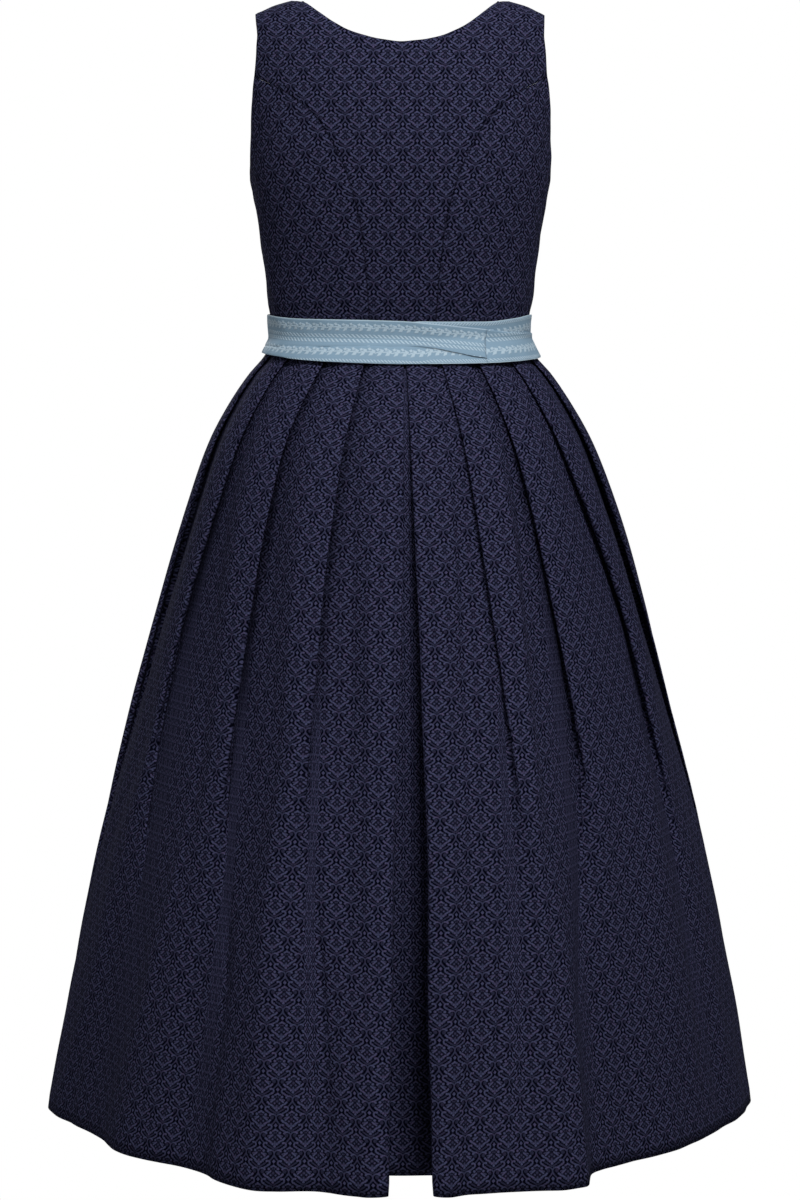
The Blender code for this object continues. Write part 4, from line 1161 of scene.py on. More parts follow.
def bodice_panel(places, arcs, side, settings, straight_at, tilt, fold):
    """A bodice panel's points, grain and painted shade: side is 1 for the wearer's left, -1 for right.

    The grain runs straight down the panel at one angle round the body. With fold its first column
    is the fold of the cloth at the centre and isn't an edge.
    """
    grain = body_grain(places, arcs)
    around = grain[..., 0] * side
    middle = np.stack([np.full(places.shape[:2], np.radians(straight_at)), places[..., 1]], axis=-1)
    grain = grain - body_grain(middle, arcs) * (1, 0)
    present = np.isfinite(places[..., 0])
    points = np.full((*places.shape[:2], 3), np.nan)
    points[present] = body_point(places[present][:, 0], places[present][:, 1])
    whole = np.where(present[..., None], points, 0.0)
    normal = body_normals(places)
    relief = bodice_relief(around, grain[..., 1], places[..., 0])
    roll = settings.roll * nearness(points, EDGE_ROLL_REACH)
    # painted shade along every seam and edge of the panel, standing in for the shade in a seam's groove
    painted_shade = SEAM_SHADE * nearness(points, SEAM_SHADE_REACH)
    if fold:
        beside_fold = ease(np.abs(whole[..., 0]), FOLD_GAP, 2 * FOLD_GAP)
        from_neck = ease(whole[0, 0, 2] - whole[..., 2], *NECK_ROLL_DROPS)
        roll = roll * np.maximum(beside_fold, 1 - from_neck)
    inside = ease(places[..., 1], 0.0, STRAP_END_LEVEL)
    offset = np.nan_to_num(relief) * inside * settings.relief - roll
    points = whole + normal * offset[..., None]
    over = np.clip(1 - places[..., 1] / STRAP_DROOP_LEVEL, 0, 1) ** 2
    out = np.abs(whole[..., 0])
    droop = sum(sink * np.exp(-((out - at) / spread) ** 2) for at, sink, spread in STRAP_DROOP)
    points[..., 2] -= droop * over
    points[~present] = np.nan
    points = points * (side, 1, 1)
    cosine, sine = np.cos(tilt), np.sin(tilt)
    grain = np.stack([(grain[..., 0] * cosine - grain[..., 1] * sine) * side,
                      grain[..., 0] * sine + grain[..., 1] * cosine], axis=-1)
    if side < 0:
        points, grain, painted_shade = points[:, ::-1], grain[:, ::-1], painted_shade[:, ::-1]
    return points, grain, painted_shade


def body_normals(places):
    """The outward direction of the bodice's form at (angle, level) places."""
    step = 0.004
    angle, level = np.nan_to_num(places[..., 0]), np.nan_to_num(places[..., 1])
    across = body_point(angle + step, level) - body_point(angle - step, level)
    above, below = np.clip(level - step, 0, 1), np.clip(level + step, 0, 1)
    down = body_point(angle, below) - body_point(angle, above)
    normal = np.cross(across, down)
    return normal / np.linalg.norm(normal, axis=-1, keepdims=True)


def on_fold(points, painted_shade):
    """The centre back is cut on the fold, so no painted seam shade lies along its centre line."""
    down_from_top = np.abs(points[..., 2] - points[:1, points.shape[1] // 2, 2])
    middle = (np.abs(points[..., 0]) < 0.003) & (down_from_top > 0.002)
    return np.where(middle, 0.0, painted_shade)


def build_bodice(settings, finish):
    """The seven bodice panels: the centre back is one piece, all the others come in pairs."""
    arcs = body_arcs()
    back = centre_panel(BACK_NECKLINE, BACK_ARMHOLE, BACK_PRINCESS)
    back_side = side_panel(BACK_PRINCESS, BACK_UNDERARM)
    front_side = side_panel(FRONT_PRINCESS, FRONT_UNDERARM, True)[:, ::-1]
    front = centre_panel(FRONT_NECKLINE, FRONT_ARMHOLE, FRONT_PRINCESS, True)[:, ::-1]
    shapes = {
        # name: places, angle at which the grain is straight, its tilt, shift of the pattern
        "back_centre": (back, 0, 0.0, (0.0, 0.0)),
        "back_side": (back_side, 62, 0.045, (0.009, 0.004)),
        "front_side": (front_side, 118, -0.045, (0.004, 0.011)),
        "front": (front, 180, 0.0, (0.0, 0.007)),
    }
    for stem, (places, straight_at, tilt, shift) in shapes.items():
        halves = [bodice_panel(places, arcs, side, settings, straight_at, tilt, stem == "back_centre")
                  for side in (1, -1)]
        if stem == "back_centre":
            left, right = halves
            pieces = {stem: [np.hstack([a, b[:, 1:]]) for a, b in zip(right, left)]}
        else:
            pieces = {f"{stem}_left": halves[0], f"{stem}_right": halves[1]}
        for name, (points, grain, painted_shade) in pieces.items():
            if stem == "back_centre":
                painted_shade = on_fold(points, painted_shade)
            piece = cloth_piece(f"dress_{name}", points, grain + shift, finish, settings.thickness,
                                shade=painted_shade)
            declare(piece, name, grain_box(points, grain), points)


# ---------------------------------------------------------------------------------------------
# Skirt
# ---------------------------------------------------------------------------------------------
def by_drop(values, drop):
    """A pleat's values at its five drops, read at any drop."""
    return smooth(PLEAT_DROPS, values, drop)


def trough_start(name, drop):
    """The angle at which a pleat's trough begins, on the side of its visible edge."""
    edges, troughs, turn = PLEATS[name][:3]
    return np.radians(by_drop(edges, drop) - turn * by_drop(troughs, drop))


def pleat_points(name, next_start, drop):
    """Angles and outward shifts of one pleat's nine points at each drop, from its trough outwards.

    The state goes from 0, pressed flat in three layers, over 1, with the middle layer standing, to
    2, an open trough. next_start is the angle at which the next trough begins.
    """
    edges, troughs, turn, opens, opened = PLEATS[name]
    edge = np.radians(by_drop(edges, drop))
    speed = skirt_speed(edge, drop)
    trough = np.radians(by_drop(troughs, drop)) * speed
    span = turn * (next_start - edge) * speed
    middle, bottom, under, waved, box_opened = (column(FOLD_OPENING, k, drop) for k in range(1, 6))
    nose = FOLD_NOSE * np.ones_like(drop)
    none = np.zeros_like(drop)
    across = np.stack([-trough, under - nose, under, under - nose, nose, none, nose, under])
    sunk = np.stack([bottom, bottom, (bottom + middle) / 2, middle, middle, middle / 2, none, none])
    if name.startswith("box"):
        waved = box_opened
        across[0] = BOX_STRIP * under
        across = (1 - waved) * across + waved * BOX_WAVE[:, :1]
        lift = BOX_WAVE[:, 1:]
    else:
        before, beside_edge, standing, open_before, open_after, open_sunk = PLEAT_STATES.T[..., None]
        state = 2 * np.clip((drop - opens) / (opened - opens), 0, 1)
        first, second = np.clip(state, 0, 1), np.clip(state - 1, 0, 1)
        stand_across = beside_edge * nose - before * trough
        across = across + first * (stand_across - across)
        across = across + second * (open_after * span - open_before * trough - across)
        sunk = sunk + first * (standing * bottom - sunk)
        sunk = sunk + second * (open_sunk * bottom - sunk)
        lift = column(HEM_WAVE, 1, np.degrees(edge + turn * across / speed))
    outwards = waved * lift - (1 - waved) * sunk
    angle = edge + turn * across / speed
    last = (angle[-1] + next_start) / 2
    last_out = waved * column(HEM_WAVE, 1, np.degrees(last)) - (1 - waved) * LAST_SUNK * bottom
    angle = np.vstack([angle, last])
    outwards = np.vstack([outwards, last_out])
    return (angle, outwards) if turn > 0 else (angle[::-1], outwards[::-1])


def seam_edge(angle, drop, away):
    """A skirt panel's edge: its angle, off its seam by a distance along the form, and its shift.

    The shift is the hem's wave as far as the section has taken it on. At the centre front the edge
    also lies as far in as a pressed pleat's middle layer.
    """
    waved = column(FOLD_OPENING, 4, drop)
    outwards = waved * column(HEM_WAVE, 1, np.degrees(angle))
    centre_front = np.abs(np.degrees(angle)) > 170
    outwards = outwards - np.where(centre_front, column(FOLD_OPENING, 2, drop) * (1 - waved), 0.0)
    return angle + away / skirt_speed(angle, drop), outwards


def through(values, steps):
    """Rows of key values joined by a curve, with a number of steps from each key to the next.

    Between two keys it is the cubic whose slope at each is half the way between its neighbours.
    """
    before = 2 * values[:1] - values[1:2]
    after = 2 * values[-1:] - values[-2:-1]
    keys = np.concatenate([before, values, after])
    rows = []
    for k, count in enumerate(steps):
        t = (np.arange(count) / count)[:, None]
        a, b, c, d = keys[k], keys[k + 1], keys[k + 2], keys[k + 3]
        rows.append(0.5 * (2 * b + (c - a) * t + (2 * a - 5 * b + 4 * c - d) * t**2
                           + (3 * b - a - 3 * c + d) * t**3))
    return np.concatenate([*rows, values[-1:]])


def skirt_panel(names, start, end, drop):
    """A skirt panel's angles and outward shifts, from its start seam through its pleats to its end.

    Each pleat's key points are joined by a curve at every drop. The third result is the column at
    which each pleat's last point lies, in the middle of its visible face.
    """
    angles, shifts, steps, middles = [start[0][None]], [start[1][None]], [], []
    for k, name in enumerate(names):
        turn = PLEATS[name][2]
        follower = k + turn
        if 0 <= follower < len(names):
            next_start = trough_start(names[follower], drop)
        else:
            next_start = end[0] if turn > 0 else start[0]
        angle, outwards = pleat_points(name, next_start, drop)
        angles.append(angle)
        shifts.append(outwards)
        own = STEPS_BETWEEN[:-1][::turn]
        steps += [STEPS_BETWEEN[-1], *own]
        middles.append(sum(steps) if turn > 0 else sum(steps) - sum(own))
    angles.append(end[0][None])
    shifts.append(end[1][None])
    steps.append(STEPS_BETWEEN[-1])
    keys = np.stack([np.vstack(angles), np.vstack(shifts)], axis=-1)
    curve = through(keys.reshape(len(keys), -1), steps).reshape(-1, len(drop), 2)
    return curve[..., 0].T, curve[..., 1].T, middles


def pleat_faces(names, middles, last):
    """The first, tied and last column of each visible face, from a pleat's edge to the next trough.

    A face that begins or ends at a seam beyond the last trough is tied at that seam.
    """
    turns = [PLEATS[name][2] for name in names]
    lips = [m - t * sum(STEPS_BETWEEN[EDGE_KEY:-1]) for m, t in zip(middles, turns)]
    troughs = [m - t * sum(STEPS_BETWEEN[:-1]) for m, t in zip(middles, turns)]
    faces = [(0, 0, troughs[0])] if turns[0] > 0 else []
    for k, turn in enumerate(turns):
        follower = k + turn
        followed = 0 <= follower < len(turns) and turns[follower] == turn
        end = troughs[follower] if followed else last if turn > 0 else 0
        faces.append((min(lips[k], end), middles[k], max(lips[k], end)))
    return faces + ([(troughs[-1], last, last)] if turns[-1] < 0 else [])


def skirt_grain(run, angle, drop, names, middles):
    """The grain of a skirt panel: length along each section, tied at its pleats' middles.

    The panel is equally wide at every height. On the visible faces the grain keeps its scale. What
    a section's run lacks is taken up in the middle of its folds, between one face and the next.
    """
    first, middle, end = np.array(pleat_faces(names, middles, run.shape[1] - 1)).T
    tied = run[-1, middle]
    across = np.empty_like(run)
    for row, own in enumerate(run):
        before, after = own[middle] - own[first], own[end] - own[middle]
        fit = np.minimum(1.0, FACE_SHARE * np.diff(tied) / (after[:-1] + before[1:]))
        after[:-1] *= fit
        before[1:] *= fit
        columns = own[np.stack([first, middle, end], axis=-1)]
        widths = np.stack([tied - before, tied, tied + after], axis=-1)
        room = np.stack([columns[1:, 0] - columns[:-1, 2], widths[1:, 0] - widths[:-1, 2]])
        even = FOLD_EVEN * room.min(axis=0)
        knots = np.concatenate([columns.ravel(), columns[:-1, 2] + even, columns[1:, 0] - even])
        lengths = np.concatenate([widths.ravel(), widths[:-1, 2] + even, widths[1:, 0] - even])
        across[row] = np.interp(own, np.sort(knots), np.sort(lengths))
    base = skirt_point(angle.mean(axis=0), drop[:, None], 0.0)
    fall = np.linalg.norm(np.diff(base, axis=0), axis=-1)
    along = np.concatenate([np.cumsum(fall[::-1], axis=0)[::-1], np.zeros((1, fall.shape[1]))])
    return np.stack([across, along], axis=-1)


def lip_shade(names, middles, angle, drop):
    """Painted shade on the cloth in the shelter of its pleats' edges while they're closed.

    It is darkest against an edge, on its trough's side, and fades with the way from there.
    """
    painted_shade = np.zeros(angle.shape)
    columns = np.arange(angle.shape[1])
    for name, middle in zip(names, middles):
        edges, _, turn, opens, opened = PLEATS[name]
        edge = np.radians(by_drop(edges, drop))
        lip = middle - turn * sum(STEPS_BETWEEN[EDGE_KEY:-1])
        away = turn * (edge[:, None] - angle) * skirt_speed(edge, drop)[:, None]
        near = np.exp(-np.clip(away, 0, None) / LIP_REACH) * (turn * (lip - columns) > 0)
        closed = 1 - ease(drop, opens, opened)
        painted_shade = np.maximum(painted_shade, LIP_SHADE.get(name, 0.0) * closed[:, None] * near)
    return painted_shade


def side_seam(side, drop):
    """The angle of a side seam at each drop, half way between the pleats on both sides of it."""
    back = by_drop(PLEATS[f"back_{side}_4"][0], drop)
    front = by_drop(PLEATS[f"front_{side}_1"][0], drop)
    return np.radians((back + front) / 2)


def build_skirt(settings, finish):
    """The skirt's back panel and its two front panels."""
    way = np.linspace(0, 1, settings.rows)
    way = 0.55 * way + 0.45 * way**1.6   # the rows lie closer together near the waist
    drop = SKIRT_FORM[0, 0] + (HEM_DROP - SKIRT_FORM[0, 0]) * way
    half = SEAM_GAP / 2
    left, right = side_seam("left", drop), side_seam("right", drop)
    centre = np.full(drop.shape, np.pi)
    back = [f"back_right_{k}" for k in (4, 3, 2, 1)] + ["box_right", "box_left"]
    back += [f"back_left_{k}" for k in (1, 2, 3, 4)]
    panels = {
        "skirt_back": (back, seam_edge(right, drop, half), seam_edge(left, drop, -half)),
        "skirt_front_left": ([f"front_left_{k}" for k in (1, 2, 3)],
                             seam_edge(left, drop, half), seam_edge(centre, drop, -half)),
        "skirt_front_right": ([f"front_right_{k}" for k in (3, 2, 1)],
                              seam_edge(-centre, drop, half), seam_edge(right, drop, -half)),
    }
    for seed, (name, (names, start, end)) in enumerate(panels.items()):
        angle, outwards, middles = skirt_panel(names, start, end, drop)
        bare = skirt_point(angle, drop[:, None], outwards)
        run = run_along(bare)
        grain = skirt_grain(run, angle, drop, names, middles)
        from_seams = np.minimum(run, run[:, -1:] - run)
        strength = ease(drop, *SKIRT_RIPPLE_DROPS)[:, None] * ease(from_seams, 0.0, SEAM_CALM)
        strength = strength * settings.relief
        relief = strength * ripple(grain[..., 0], grain[..., 1], SKIRT_RIPPLE, seed + SKIRT_SEED)
        points = bare + surface_normals(bare) * relief[..., None]
        hem = ease(drop, HEM_DROP - HEM_TURN_REACH, HEM_DROP)[:, None]
        points = points - surface_normals(bare) * (HEM_TURN * hem)[..., None]
        # painted shade beside the pleats' edges
        piece = cloth_piece(f"dress_{name}", points, grain, finish, settings.thickness,
                            shade=lip_shade(names, middles, angle, drop))
        declare(piece, name, grain_box(points, grain), points)


# ---------------------------------------------------------------------------------------------
# Zip and ribbon band
# ---------------------------------------------------------------------------------------------
def build_zip(finish):
    """The concealed zip's tape behind the centre front, from the neckline to below the waist.

    It follows the bodice's and then the skirt's centre front, a little behind. Across, it falls
    back evenly from the middle, where a narrow round ridge stands for the coil.
    """
    drop = np.linspace(ZIP_TOP_DROP, ZIP_END_DROP, 90)
    level = np.sqrt(np.clip(drop / WAIST_DROP, 0, 1))
    in_bodice = -body_point(np.full(drop.shape, np.pi), level)[:, 1] - ZIP_DEPTH
    below = np.clip(drop, SKIRT_FORM[0, 0], None)
    centre = np.full(drop.shape, np.pi)
    in_skirt = -skirt_point(centre, below, seam_edge(centre, below, 0.0)[1])[:, 1] - ZIP_DEPTH
    blend = ease(drop, WAIST_DROP - 0.012, WAIST_DROP + 0.012)
    face = in_bodice * (1 - blend) + in_skirt * blend
    x = np.linspace(1, -1, 13)
    ridge = ZIP_RIDGE * np.exp(-(x / ZIP_RIDGE_SPREAD) ** 2)
    y = -(face[:, None] - ZIP_FALL * np.abs(x) + ridge)
    points = np.stack(np.broadcast_arrays(x[None] * ZIP_HALF, y, -drop[:, None]), axis=-1)
    along = run_along(points[:, len(x) // 2])
    grain = np.stack(np.broadcast_arrays(-x[None] * ZIP_HALF, -along[:, None]), axis=-1).copy()
    piece = cloth_piece("dress_front_zip", points, grain, finish, ZIP_THICKNESS)
    declare(piece, "front_zip", strip_cut(points), points)


def band_strip(angle, top, bottom, outwards, rows, seed, settings):
    """A stretch of the ribbon and its drops; rows are shares of the way down.

    It lies on the band's form between two edges, with a little slack, and turns in at them. Near
    the seam each point moves round a little with its drop, so that the seam leans.
    """
    drop = top + rows[:, None] * (bottom - top)
    lean = SEAM_LEAN * ease(drop, *SEAM_LEAN_DROPS)
    lean = lean * np.exp(-np.abs(angle - BAND_SEAM_ANGLE) / SEAM_LEAN_REACH)
    around = np.radians(angle)[None] * BAND_FORM[1, 1]
    slack = settings.relief * ripple(around, drop, RIBBON_RIPPLE, seed)
    edge = np.minimum(rows, 1 - rows)[:, None] * np.abs(bottom - top)
    turned = 0.0004 * np.exp(-(edge / 0.0007) ** 2)
    return band_point(np.radians(angle + lean), drop, outwards + slack - turned), drop


def ribbon_grain(angle, middle, outwards, far):
    """The ribbon's grain: its length along its middle line, and how far down its pattern it is."""
    run = run_along(band_point(np.radians(angle), middle, outwards))
    return np.stack(np.broadcast_arrays(run[None], far), axis=-1).copy()


def build_first_winding(settings, finish):
    """The ribbon's first winding, all the way round. The second hides part of its upper edge."""
    angle = np.arange(-180.0, 180.0, BAND_STEP)
    hidden = share(angle, *COVERED_LEFT) + share(angle, *COVERED_RIGHT)
    top = column(BAND_TOP, 1, angle) + UNDER_MARGIN * hidden
    bottom = column(BAND_BOTTOM, 1, angle) - UNDER_MARGIN
    points, drop = band_strip(angle, top, bottom, FIRST_OUT, crowded(BAND_ROWS), 1.0, settings)
    grain = ribbon_grain(angle, (top + bottom) / 2, FIRST_OUT, RIBBON_WIDTH - drop + top)
    piece = cloth_piece("dress_band_under", points, grain, finish, settings.thickness, ring=True)
    closed = np.hstack([points, points[:, :1]])
    declare(piece, "band_under", strip_cut(closed), closed)


def build_left_stretch(settings, finish):
    """The second winding from its seam to the wearer's left: two layers that a tuck divides.

    The upper layer ends in the tuck's fold. From there the cloth runs up behind the fold and down
    again as the lower layer, whose pattern is counted from the ribbon's lower edge.
    """
    angle = np.arange(BAND_SEAM_ANGLE, 180.0 + BAND_FRONT_LAP + 0.1, BAND_STEP)
    angle[0] += SEAM_HALF_ANGLE
    top, bottom = column(LAP_TOP, 1, angle), column(BAND_BOTTOM, 1, angle)
    fold, proud = column(TUCK, 1, angle), column(TUCK, 2, angle)
    lower_out = SECOND_OUT * (1 + ease(angle, *LAP_RISE))
    upper_out = lower_out + proud
    upper, drop = band_strip(angle, top, fold, upper_out, crowded(UPPER_LAYER_ROWS), 2.0, settings)
    upper_grain = ribbon_grain(angle, (top + bottom) / 2, lower_out, drop - top)
    lower, drop = band_strip(angle, fold + TUCK_GAP, bottom, lower_out,
                             crowded(LOWER_LAYER_ROWS), 3.0, settings)
    far = RIBBON_WIDTH - (bottom - drop)
    tucked = np.clip(proud / TUCK_GAP, 0, 1)
    far = tucked * far + (1 - tucked) * (upper_grain[-1:, :, 1] + drop - fold)
    lower_grain = np.stack([np.broadcast_to(upper_grain[:1, :, 0], far.shape), far], axis=-1)
    under = band_point(np.radians(angle)[None], (fold + TUCK_HALF - TUCK_DEPTH * tucked)[None],
                       (lower_out + 0.1 * proud)[None])
    leaned = upper[-1] - band_point(np.radians(angle), fold, upper_out)
    under[0, :, :2] += leaned[:, :2]
    points = np.concatenate([upper, under, lower])
    grain = np.concatenate([upper_grain, lower_grain[:1] - (0.0, TUCK_HALF), lower_grain])
    # painted shade: a dark line on the cloth just below the tuck's fold, standing in for the fold's
    # shadow
    below = (-points[..., 2] - fold) / TUCK_SHADE_REACH
    painted_shade = np.where(below > 0, np.exp(-below**2), 0.0) * tucked
    piece = cloth_piece("dress_band_over_left", points, grain, finish, settings.thickness,
                        shade=painted_shade)
    declare(piece, "band_over_left", strip_cut(points), points)


def build_right_stretch(settings, finish):
    """The second winding from its seam to the wearer's right, in one layer."""
    angle = np.arange(-180.0, BAND_SEAM_ANGLE + 0.1, BAND_STEP)
    angle[-1] -= SEAM_HALF_ANGLE
    top, bottom = column(LAP_TOP, 1, angle), column(BAND_BOTTOM, 1, angle)
    points, drop = band_strip(angle, top, bottom, SECOND_OUT, crowded(BAND_ROWS), 4.0, settings)
    grain = ribbon_grain(angle, (top + bottom) / 2, SECOND_OUT, RIBBON_WIDTH - bottom + drop)
    piece = cloth_piece("dress_band_over_right", points, grain, finish, settings.thickness)
    declare(piece, "band_over_right", strip_cut(points), points)


def build_band(settings, finish):
    """The ribbon's first winding and the two stretches of the second, which meet at a seam."""
    build_first_winding(settings, finish)
    build_left_stretch(settings, finish)
    build_right_stretch(settings, finish)


# ---------------------------------------------------------------------------------------------
# Stage
# ---------------------------------------------------------------------------------------------
def pale_floor(settings):
    """A floor that looks all but white, and that throws little light back up at the dress."""
    pale = bpy.data.materials.new("Pale floor")
    pale.use_nodes = True
    tree = pale.node_tree
    shader = tree.nodes["Principled BSDF"]
    shader.inputs["Base Color"].default_value = (0.94, 0.94, 0.94, 1.0)
    shader.inputs["Roughness"].default_value = 0.9
    shader.inputs["Emission Color"].default_value = (1.0, 1.0, 1.0, 1.0)
    shader.inputs["Emission Strength"].default_value = settings.floor_glow
    dull = tree.nodes.new("ShaderNodeBsdfDiffuse")
    dull.inputs["Color"].default_value = (0.2, 0.2, 0.2, 1.0)
    seen_only(tree, dull.outputs[0], shader.outputs[0], tree.nodes["Material Output"])
    return pale


def seen_only(tree, other, seen, output):
    """Shows one shader to the camera and another to the light that reaches the dress."""
    path = tree.nodes.new("ShaderNodeLightPath")
    mix = tree.nodes.new("ShaderNodeMixShader")
    tree.links.new(path.outputs["Is Camera Ray"], mix.inputs[0])
    tree.links.new(other, mix.inputs[1])
    tree.links.new(seen, mix.inputs[2])
    tree.links.new(mix.outputs[0], output.inputs["Surface"])


def add_object(name, data):
    """A new object of some data, in the scene's collection."""
    item = bpy.data.objects.new(name, data)
    bpy.context.scene.collection.objects.link(item)
    return item


def set_floor(settings):
    """The flat floor under the dress."""
    mesh = bpy.data.meshes.new("floor")
    reach, level = settings.reach, settings.floor
    mesh.from_pydata([(-reach, -reach, level), (reach, -reach, level), (reach, reach, level),
                      (-reach, reach, level)], [], [(0, 1, 2, 3)])
    floor = add_object("floor", mesh)
    mesh.materials.append(pale_floor(settings))


def set_surround(settings):
    """The surround: pure white to look at, and a soft even light on the dress."""
    world = bpy.data.worlds.new("Studio")
    bpy.context.scene.world = world
    world.use_nodes = True
    tree = world.node_tree
    sky = tree.nodes["Background"]
    sky.inputs["Color"].default_value = (1.0, 1.0, 1.0, 1.0)
    sky.inputs["Strength"].default_value = settings.surround
    seen = tree.nodes.new("ShaderNodeBackground")
    seen.inputs["Color"].default_value = (1.0, 1.0, 1.0, 1.0)
    seen_only(tree, sky.outputs[0], seen.outputs[0], tree.nodes["World Output"])


def set_lights(settings):
    """The three soft lights: the main one high at the back, one beside it and one in front."""
    for name, place, aim, power, size in (
        ("key", (-0.65, 2.25, 2.25), (0.0, 0.0, -0.45), settings.key, 1.0),
        ("fill", (2.6, 3.2, 0.5), (0.0, 0.0, -0.7), settings.fill, 2.4),
        ("front", (1.2, -3.8, 1.4), (0.0, 0.0, -0.6), settings.front, 2.4),
    ):
        light = bpy.data.lights.new(name, "AREA")
        light.energy = power
        light.size = size
        lamp = add_object(name, light)
        lamp.location = place
        lamp.rotation_euler = look_at(place, aim)


def set_camera(settings):
    """The camera behind the dress, and the view's plain colours."""
    camera = bpy.data.cameras.new("camera")
    camera.lens = settings.lens
    camera.clip_end = 60.0
    viewer = add_object("camera", camera)
    viewer.location = settings.eye
    viewer.rotation_euler = look_at(settings.eye, settings.aim)
    bpy.context.scene.camera = viewer
    bpy.context.scene.view_settings.view_transform = "Standard"


def build_stage(settings):
    """A pale floor under a white surround, soft lights and the camera."""
    set_floor(settings)
    set_surround(settings)
    set_lights(settings)
    set_camera(settings)


def look_at(place, aim):
    """The turn that points a camera or lamp from a place at an aim."""
    return (Vector(aim) - Vector(place)).to_track_quat("-Z", "Y").to_euler()


# ---------------------------------------------------------------------------------------------
# Add-on
# ---------------------------------------------------------------------------------------------
class DirndlJacquard(bpy.types.PropertyGroup):
    """The jacquard's repeat and colours."""
    motif_width: bpy.props.FloatProperty(
        name="Motif width", description="Width of one repeat of the flower", default=0.0279,
        unit="LENGTH")
    motif_height: bpy.props.FloatProperty(
        name="Motif height", description="Height of one repeat of the flower", default=0.0322,
        unit="LENGTH")
    thread: bpy.props.FloatProperty(
        name="Thread", description="Step of the weave that draws the figure", default=0.0005,
        unit="LENGTH")
    sheen: bpy.props.FloatProperty(
        name="Sheen", description="Soft gloss of the cotton", default=0.006, subtype="FACTOR")
    ground: bpy.props.FloatVectorProperty(
        name="Ground", description="Colour of the ground", default=(0.0009, 0.0012, 0.0066),
        subtype="COLOR")
    light: bpy.props.FloatVectorProperty(
        name="Light thread", description="Colour of the figure", default=(0.081, 0.089, 0.181),
        subtype="COLOR")
    light_two: bpy.props.FloatVectorProperty(
        name="Second thread", description="Warmer colour of the figure",
        default=(0.098, 0.083, 0.177), subtype="COLOR")


class DirndlRibbon(bpy.types.PropertyGroup):
    """The ribbon's size and colours."""
    thickness: bpy.props.FloatProperty(
        name="Thickness", description="Thickness of the ribbon", default=0.0007, unit="LENGTH")
    relief: bpy.props.FloatProperty(
        name="Relief", description="Strength of the ribbon's slack", default=1.0,
        subtype="FACTOR")
    ground: bpy.props.FloatVectorProperty(
        name="Ground", description="Colour of the plain stripes", default=(0.325, 0.490, 0.640),
        subtype="COLOR")
    shade: bpy.props.FloatVectorProperty(
        name="Shade", description="Deeper tone of the plain stripes",
        default=(0.280, 0.430, 0.570), subtype="COLOR")
    light: bpy.props.FloatVectorProperty(
        name="Figure", description="Colour of the sprigs and ropes", default=(0.59, 0.75, 0.87),
        subtype="COLOR")


class DirndlCloth(bpy.types.PropertyGroup):
    """The bodice's and skirt's cloth."""
    thickness: bpy.props.FloatProperty(
        name="Thickness", description="Thickness of the cloth", default=0.0009, unit="LENGTH")
    roll: bpy.props.FloatProperty(
        name="Edge roll", description="How far edges and seams are turned in", default=0.0010,
        unit="LENGTH")
    relief: bpy.props.FloatProperty(
        name="Relief", description="Strength of the small folds", default=1.0, subtype="FACTOR")
    rows: bpy.props.IntProperty(
        name="Rows", description="Rows of points from the waist to the hem", default=84)


class DirndlStage(bpy.types.PropertyGroup):
    """The studio."""
    floor: bpy.props.FloatProperty(
        name="Floor", description="Height of the floor", default=-1.48, unit="LENGTH")
    reach: bpy.props.FloatProperty(
        name="Reach", description="Half the width of the floor", default=1.1, unit="LENGTH")
    floor_glow: bpy.props.FloatProperty(
        name="Floor glow", description="How much the floor shines by itself", default=0.62)
    surround: bpy.props.FloatProperty(
        name="Surround", description="Light from the white surround", default=0.18)
    key: bpy.props.FloatProperty(
        name="Key", description="Power of the main light", default=73.0, unit="POWER")
    fill: bpy.props.FloatProperty(
        name="Fill", description="Power of the second light", default=7.0, unit="POWER")
    front: bpy.props.FloatProperty(
        name="Front", description="Power of the light on the far side", default=45.0,
        unit="POWER")
    lens: bpy.props.FloatProperty(
        name="Lens", description="Focal length of the camera", default=105.36, unit="CAMERA")
    eye: bpy.props.FloatVectorProperty(
        name="Eye", description="Place of the camera", default=(0.10, 3.5, -0.324),
        subtype="TRANSLATION")
    aim: bpy.props.FloatVectorProperty(
        name="Aim", description="What the camera looks at", default=(0.0, 0.0, -0.594),
        subtype="TRANSLATION")


def shared_jacquard(context):
    """The jacquard, made once and used by the bodice and the skirt."""
    return bpy.data.materials.get("Navy jacquard") or jacquard(context.scene.dirndl_jacquard)


class DIRNDL_OT_bodice(bpy.types.Operator):
    """Builds the bodice's seven panels"""
    bl_idname = "dirndl.bodice"
    bl_label = "Build bodice"

    def execute(self, context):
        build_bodice(context.scene.dirndl_cloth, shared_jacquard(context))
        return {"FINISHED"}


class DIRNDL_OT_skirt(bpy.types.Operator):
    """Builds the pleated skirt's back and front panels"""
    bl_idname = "dirndl.skirt"
    bl_label = "Build skirt"

    def execute(self, context):
        build_skirt(context.scene.dirndl_cloth, shared_jacquard(context))
        return {"FINISHED"}


class DIRNDL_OT_zip(bpy.types.Operator):
    """Builds the concealed zip behind the centre front"""
    bl_idname = "dirndl.zip"
    bl_label = "Build zip"

    def execute(self, context):
        build_zip(zip_tape())
        return {"FINISHED"}


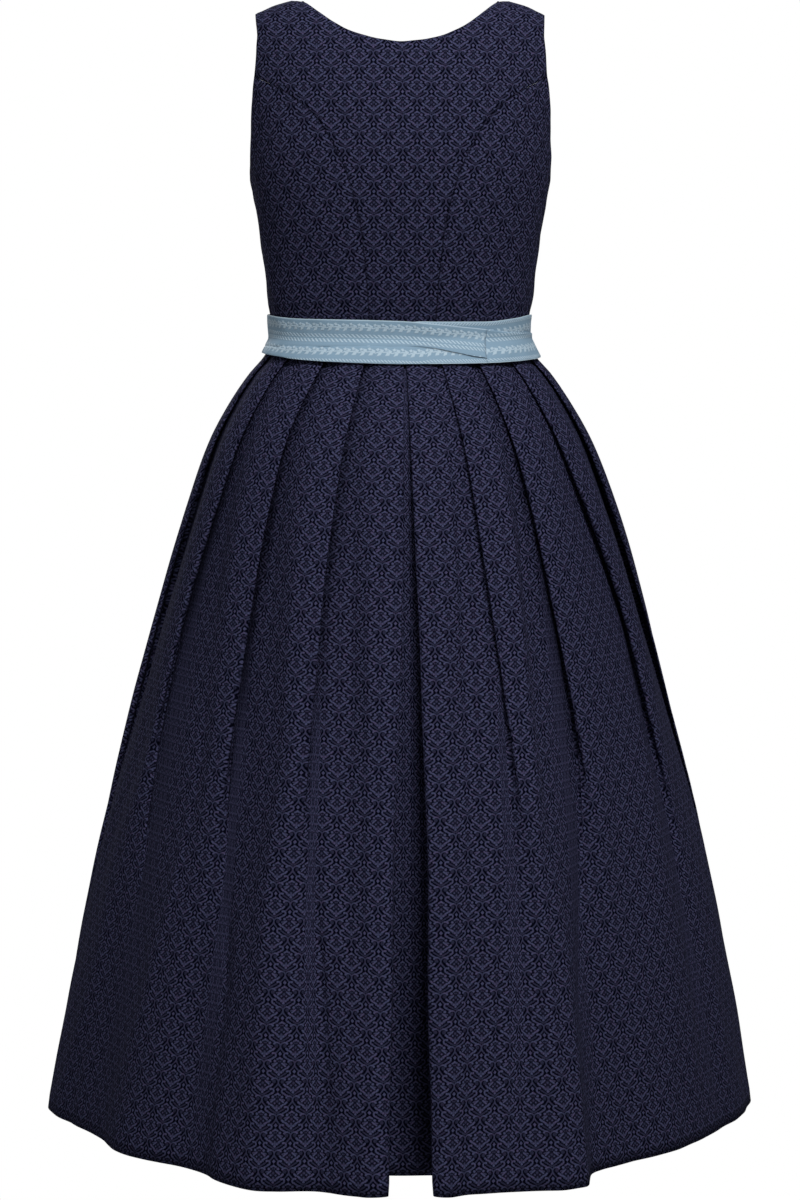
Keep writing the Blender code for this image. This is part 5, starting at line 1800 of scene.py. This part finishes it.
class DIRNDL_OT_band(bpy.types.Operator):
    """Builds the windings of the ribbon round the waist"""
    bl_idname = "dirndl.band"
    bl_label = "Build ribbon band"

    def execute(self, context):
        build_band(context.scene.dirndl_ribbon, ribbon(context.scene.dirndl_ribbon))
        return {"FINISHED"}


class DIRNDL_OT_stage(bpy.types.Operator):
    """Sets the floor, the surround, the lights and the camera"""
    bl_idname = "dirndl.stage"
    bl_label = "Set stage"

    def execute(self, context):
        build_stage(context.scene.dirndl_stage)
        return {"FINISHED"}


class DIRNDL_PT_panel(bpy.types.Panel):
    """The dirndl's buttons and settings"""
    bl_label = "Dirndl"
    bl_idname = "DIRNDL_PT_panel"
    bl_space_type = "VIEW_3D"
    bl_region_type = "UI"
    bl_category = "Dirndl"

    def draw(self, context):
        layout = self.layout
        for operator in OPERATORS:
            layout.operator(operator.bl_idname)
        for name, group in GROUPS.items():
            box = layout.box()
            for field in group.__annotations__:
                box.prop(getattr(context.scene, name), field)


GROUPS = {
    "dirndl_jacquard": DirndlJacquard,
    "dirndl_ribbon": DirndlRibbon,
    "dirndl_cloth": DirndlCloth,
    "dirndl_stage": DirndlStage,
}
OPERATORS = (DIRNDL_OT_bodice, DIRNDL_OT_skirt, DIRNDL_OT_zip, DIRNDL_OT_band, DIRNDL_OT_stage)


def register():
    """Adds the settings, the operators and the panel to Blender."""
    for name, group in GROUPS.items():
        bpy.utils.register_class(group)
        setattr(bpy.types.Scene, name, bpy.props.PointerProperty(type=group))
    for made in (*OPERATORS, DIRNDL_PT_panel):
        bpy.utils.register_class(made)


def unregister():
    """Takes them out again."""
    for made in (DIRNDL_PT_panel, *reversed(OPERATORS)):
        bpy.utils.unregister_class(made)
    for name, group in GROUPS.items():
        delattr(bpy.types.Scene, name)
        bpy.utils.unregister_class(group)


def main():
    """Registers the add-on and builds the whole dress on its stage."""
    register()
    bpy.ops.dirndl.bodice()
    bpy.ops.dirndl.skirt()
    bpy.ops.dirndl.zip()
    bpy.ops.dirndl.band()
    bpy.ops.dirndl.stage()
    bpy.context.view_layer.update()


if __name__ == "__main__":
    main()
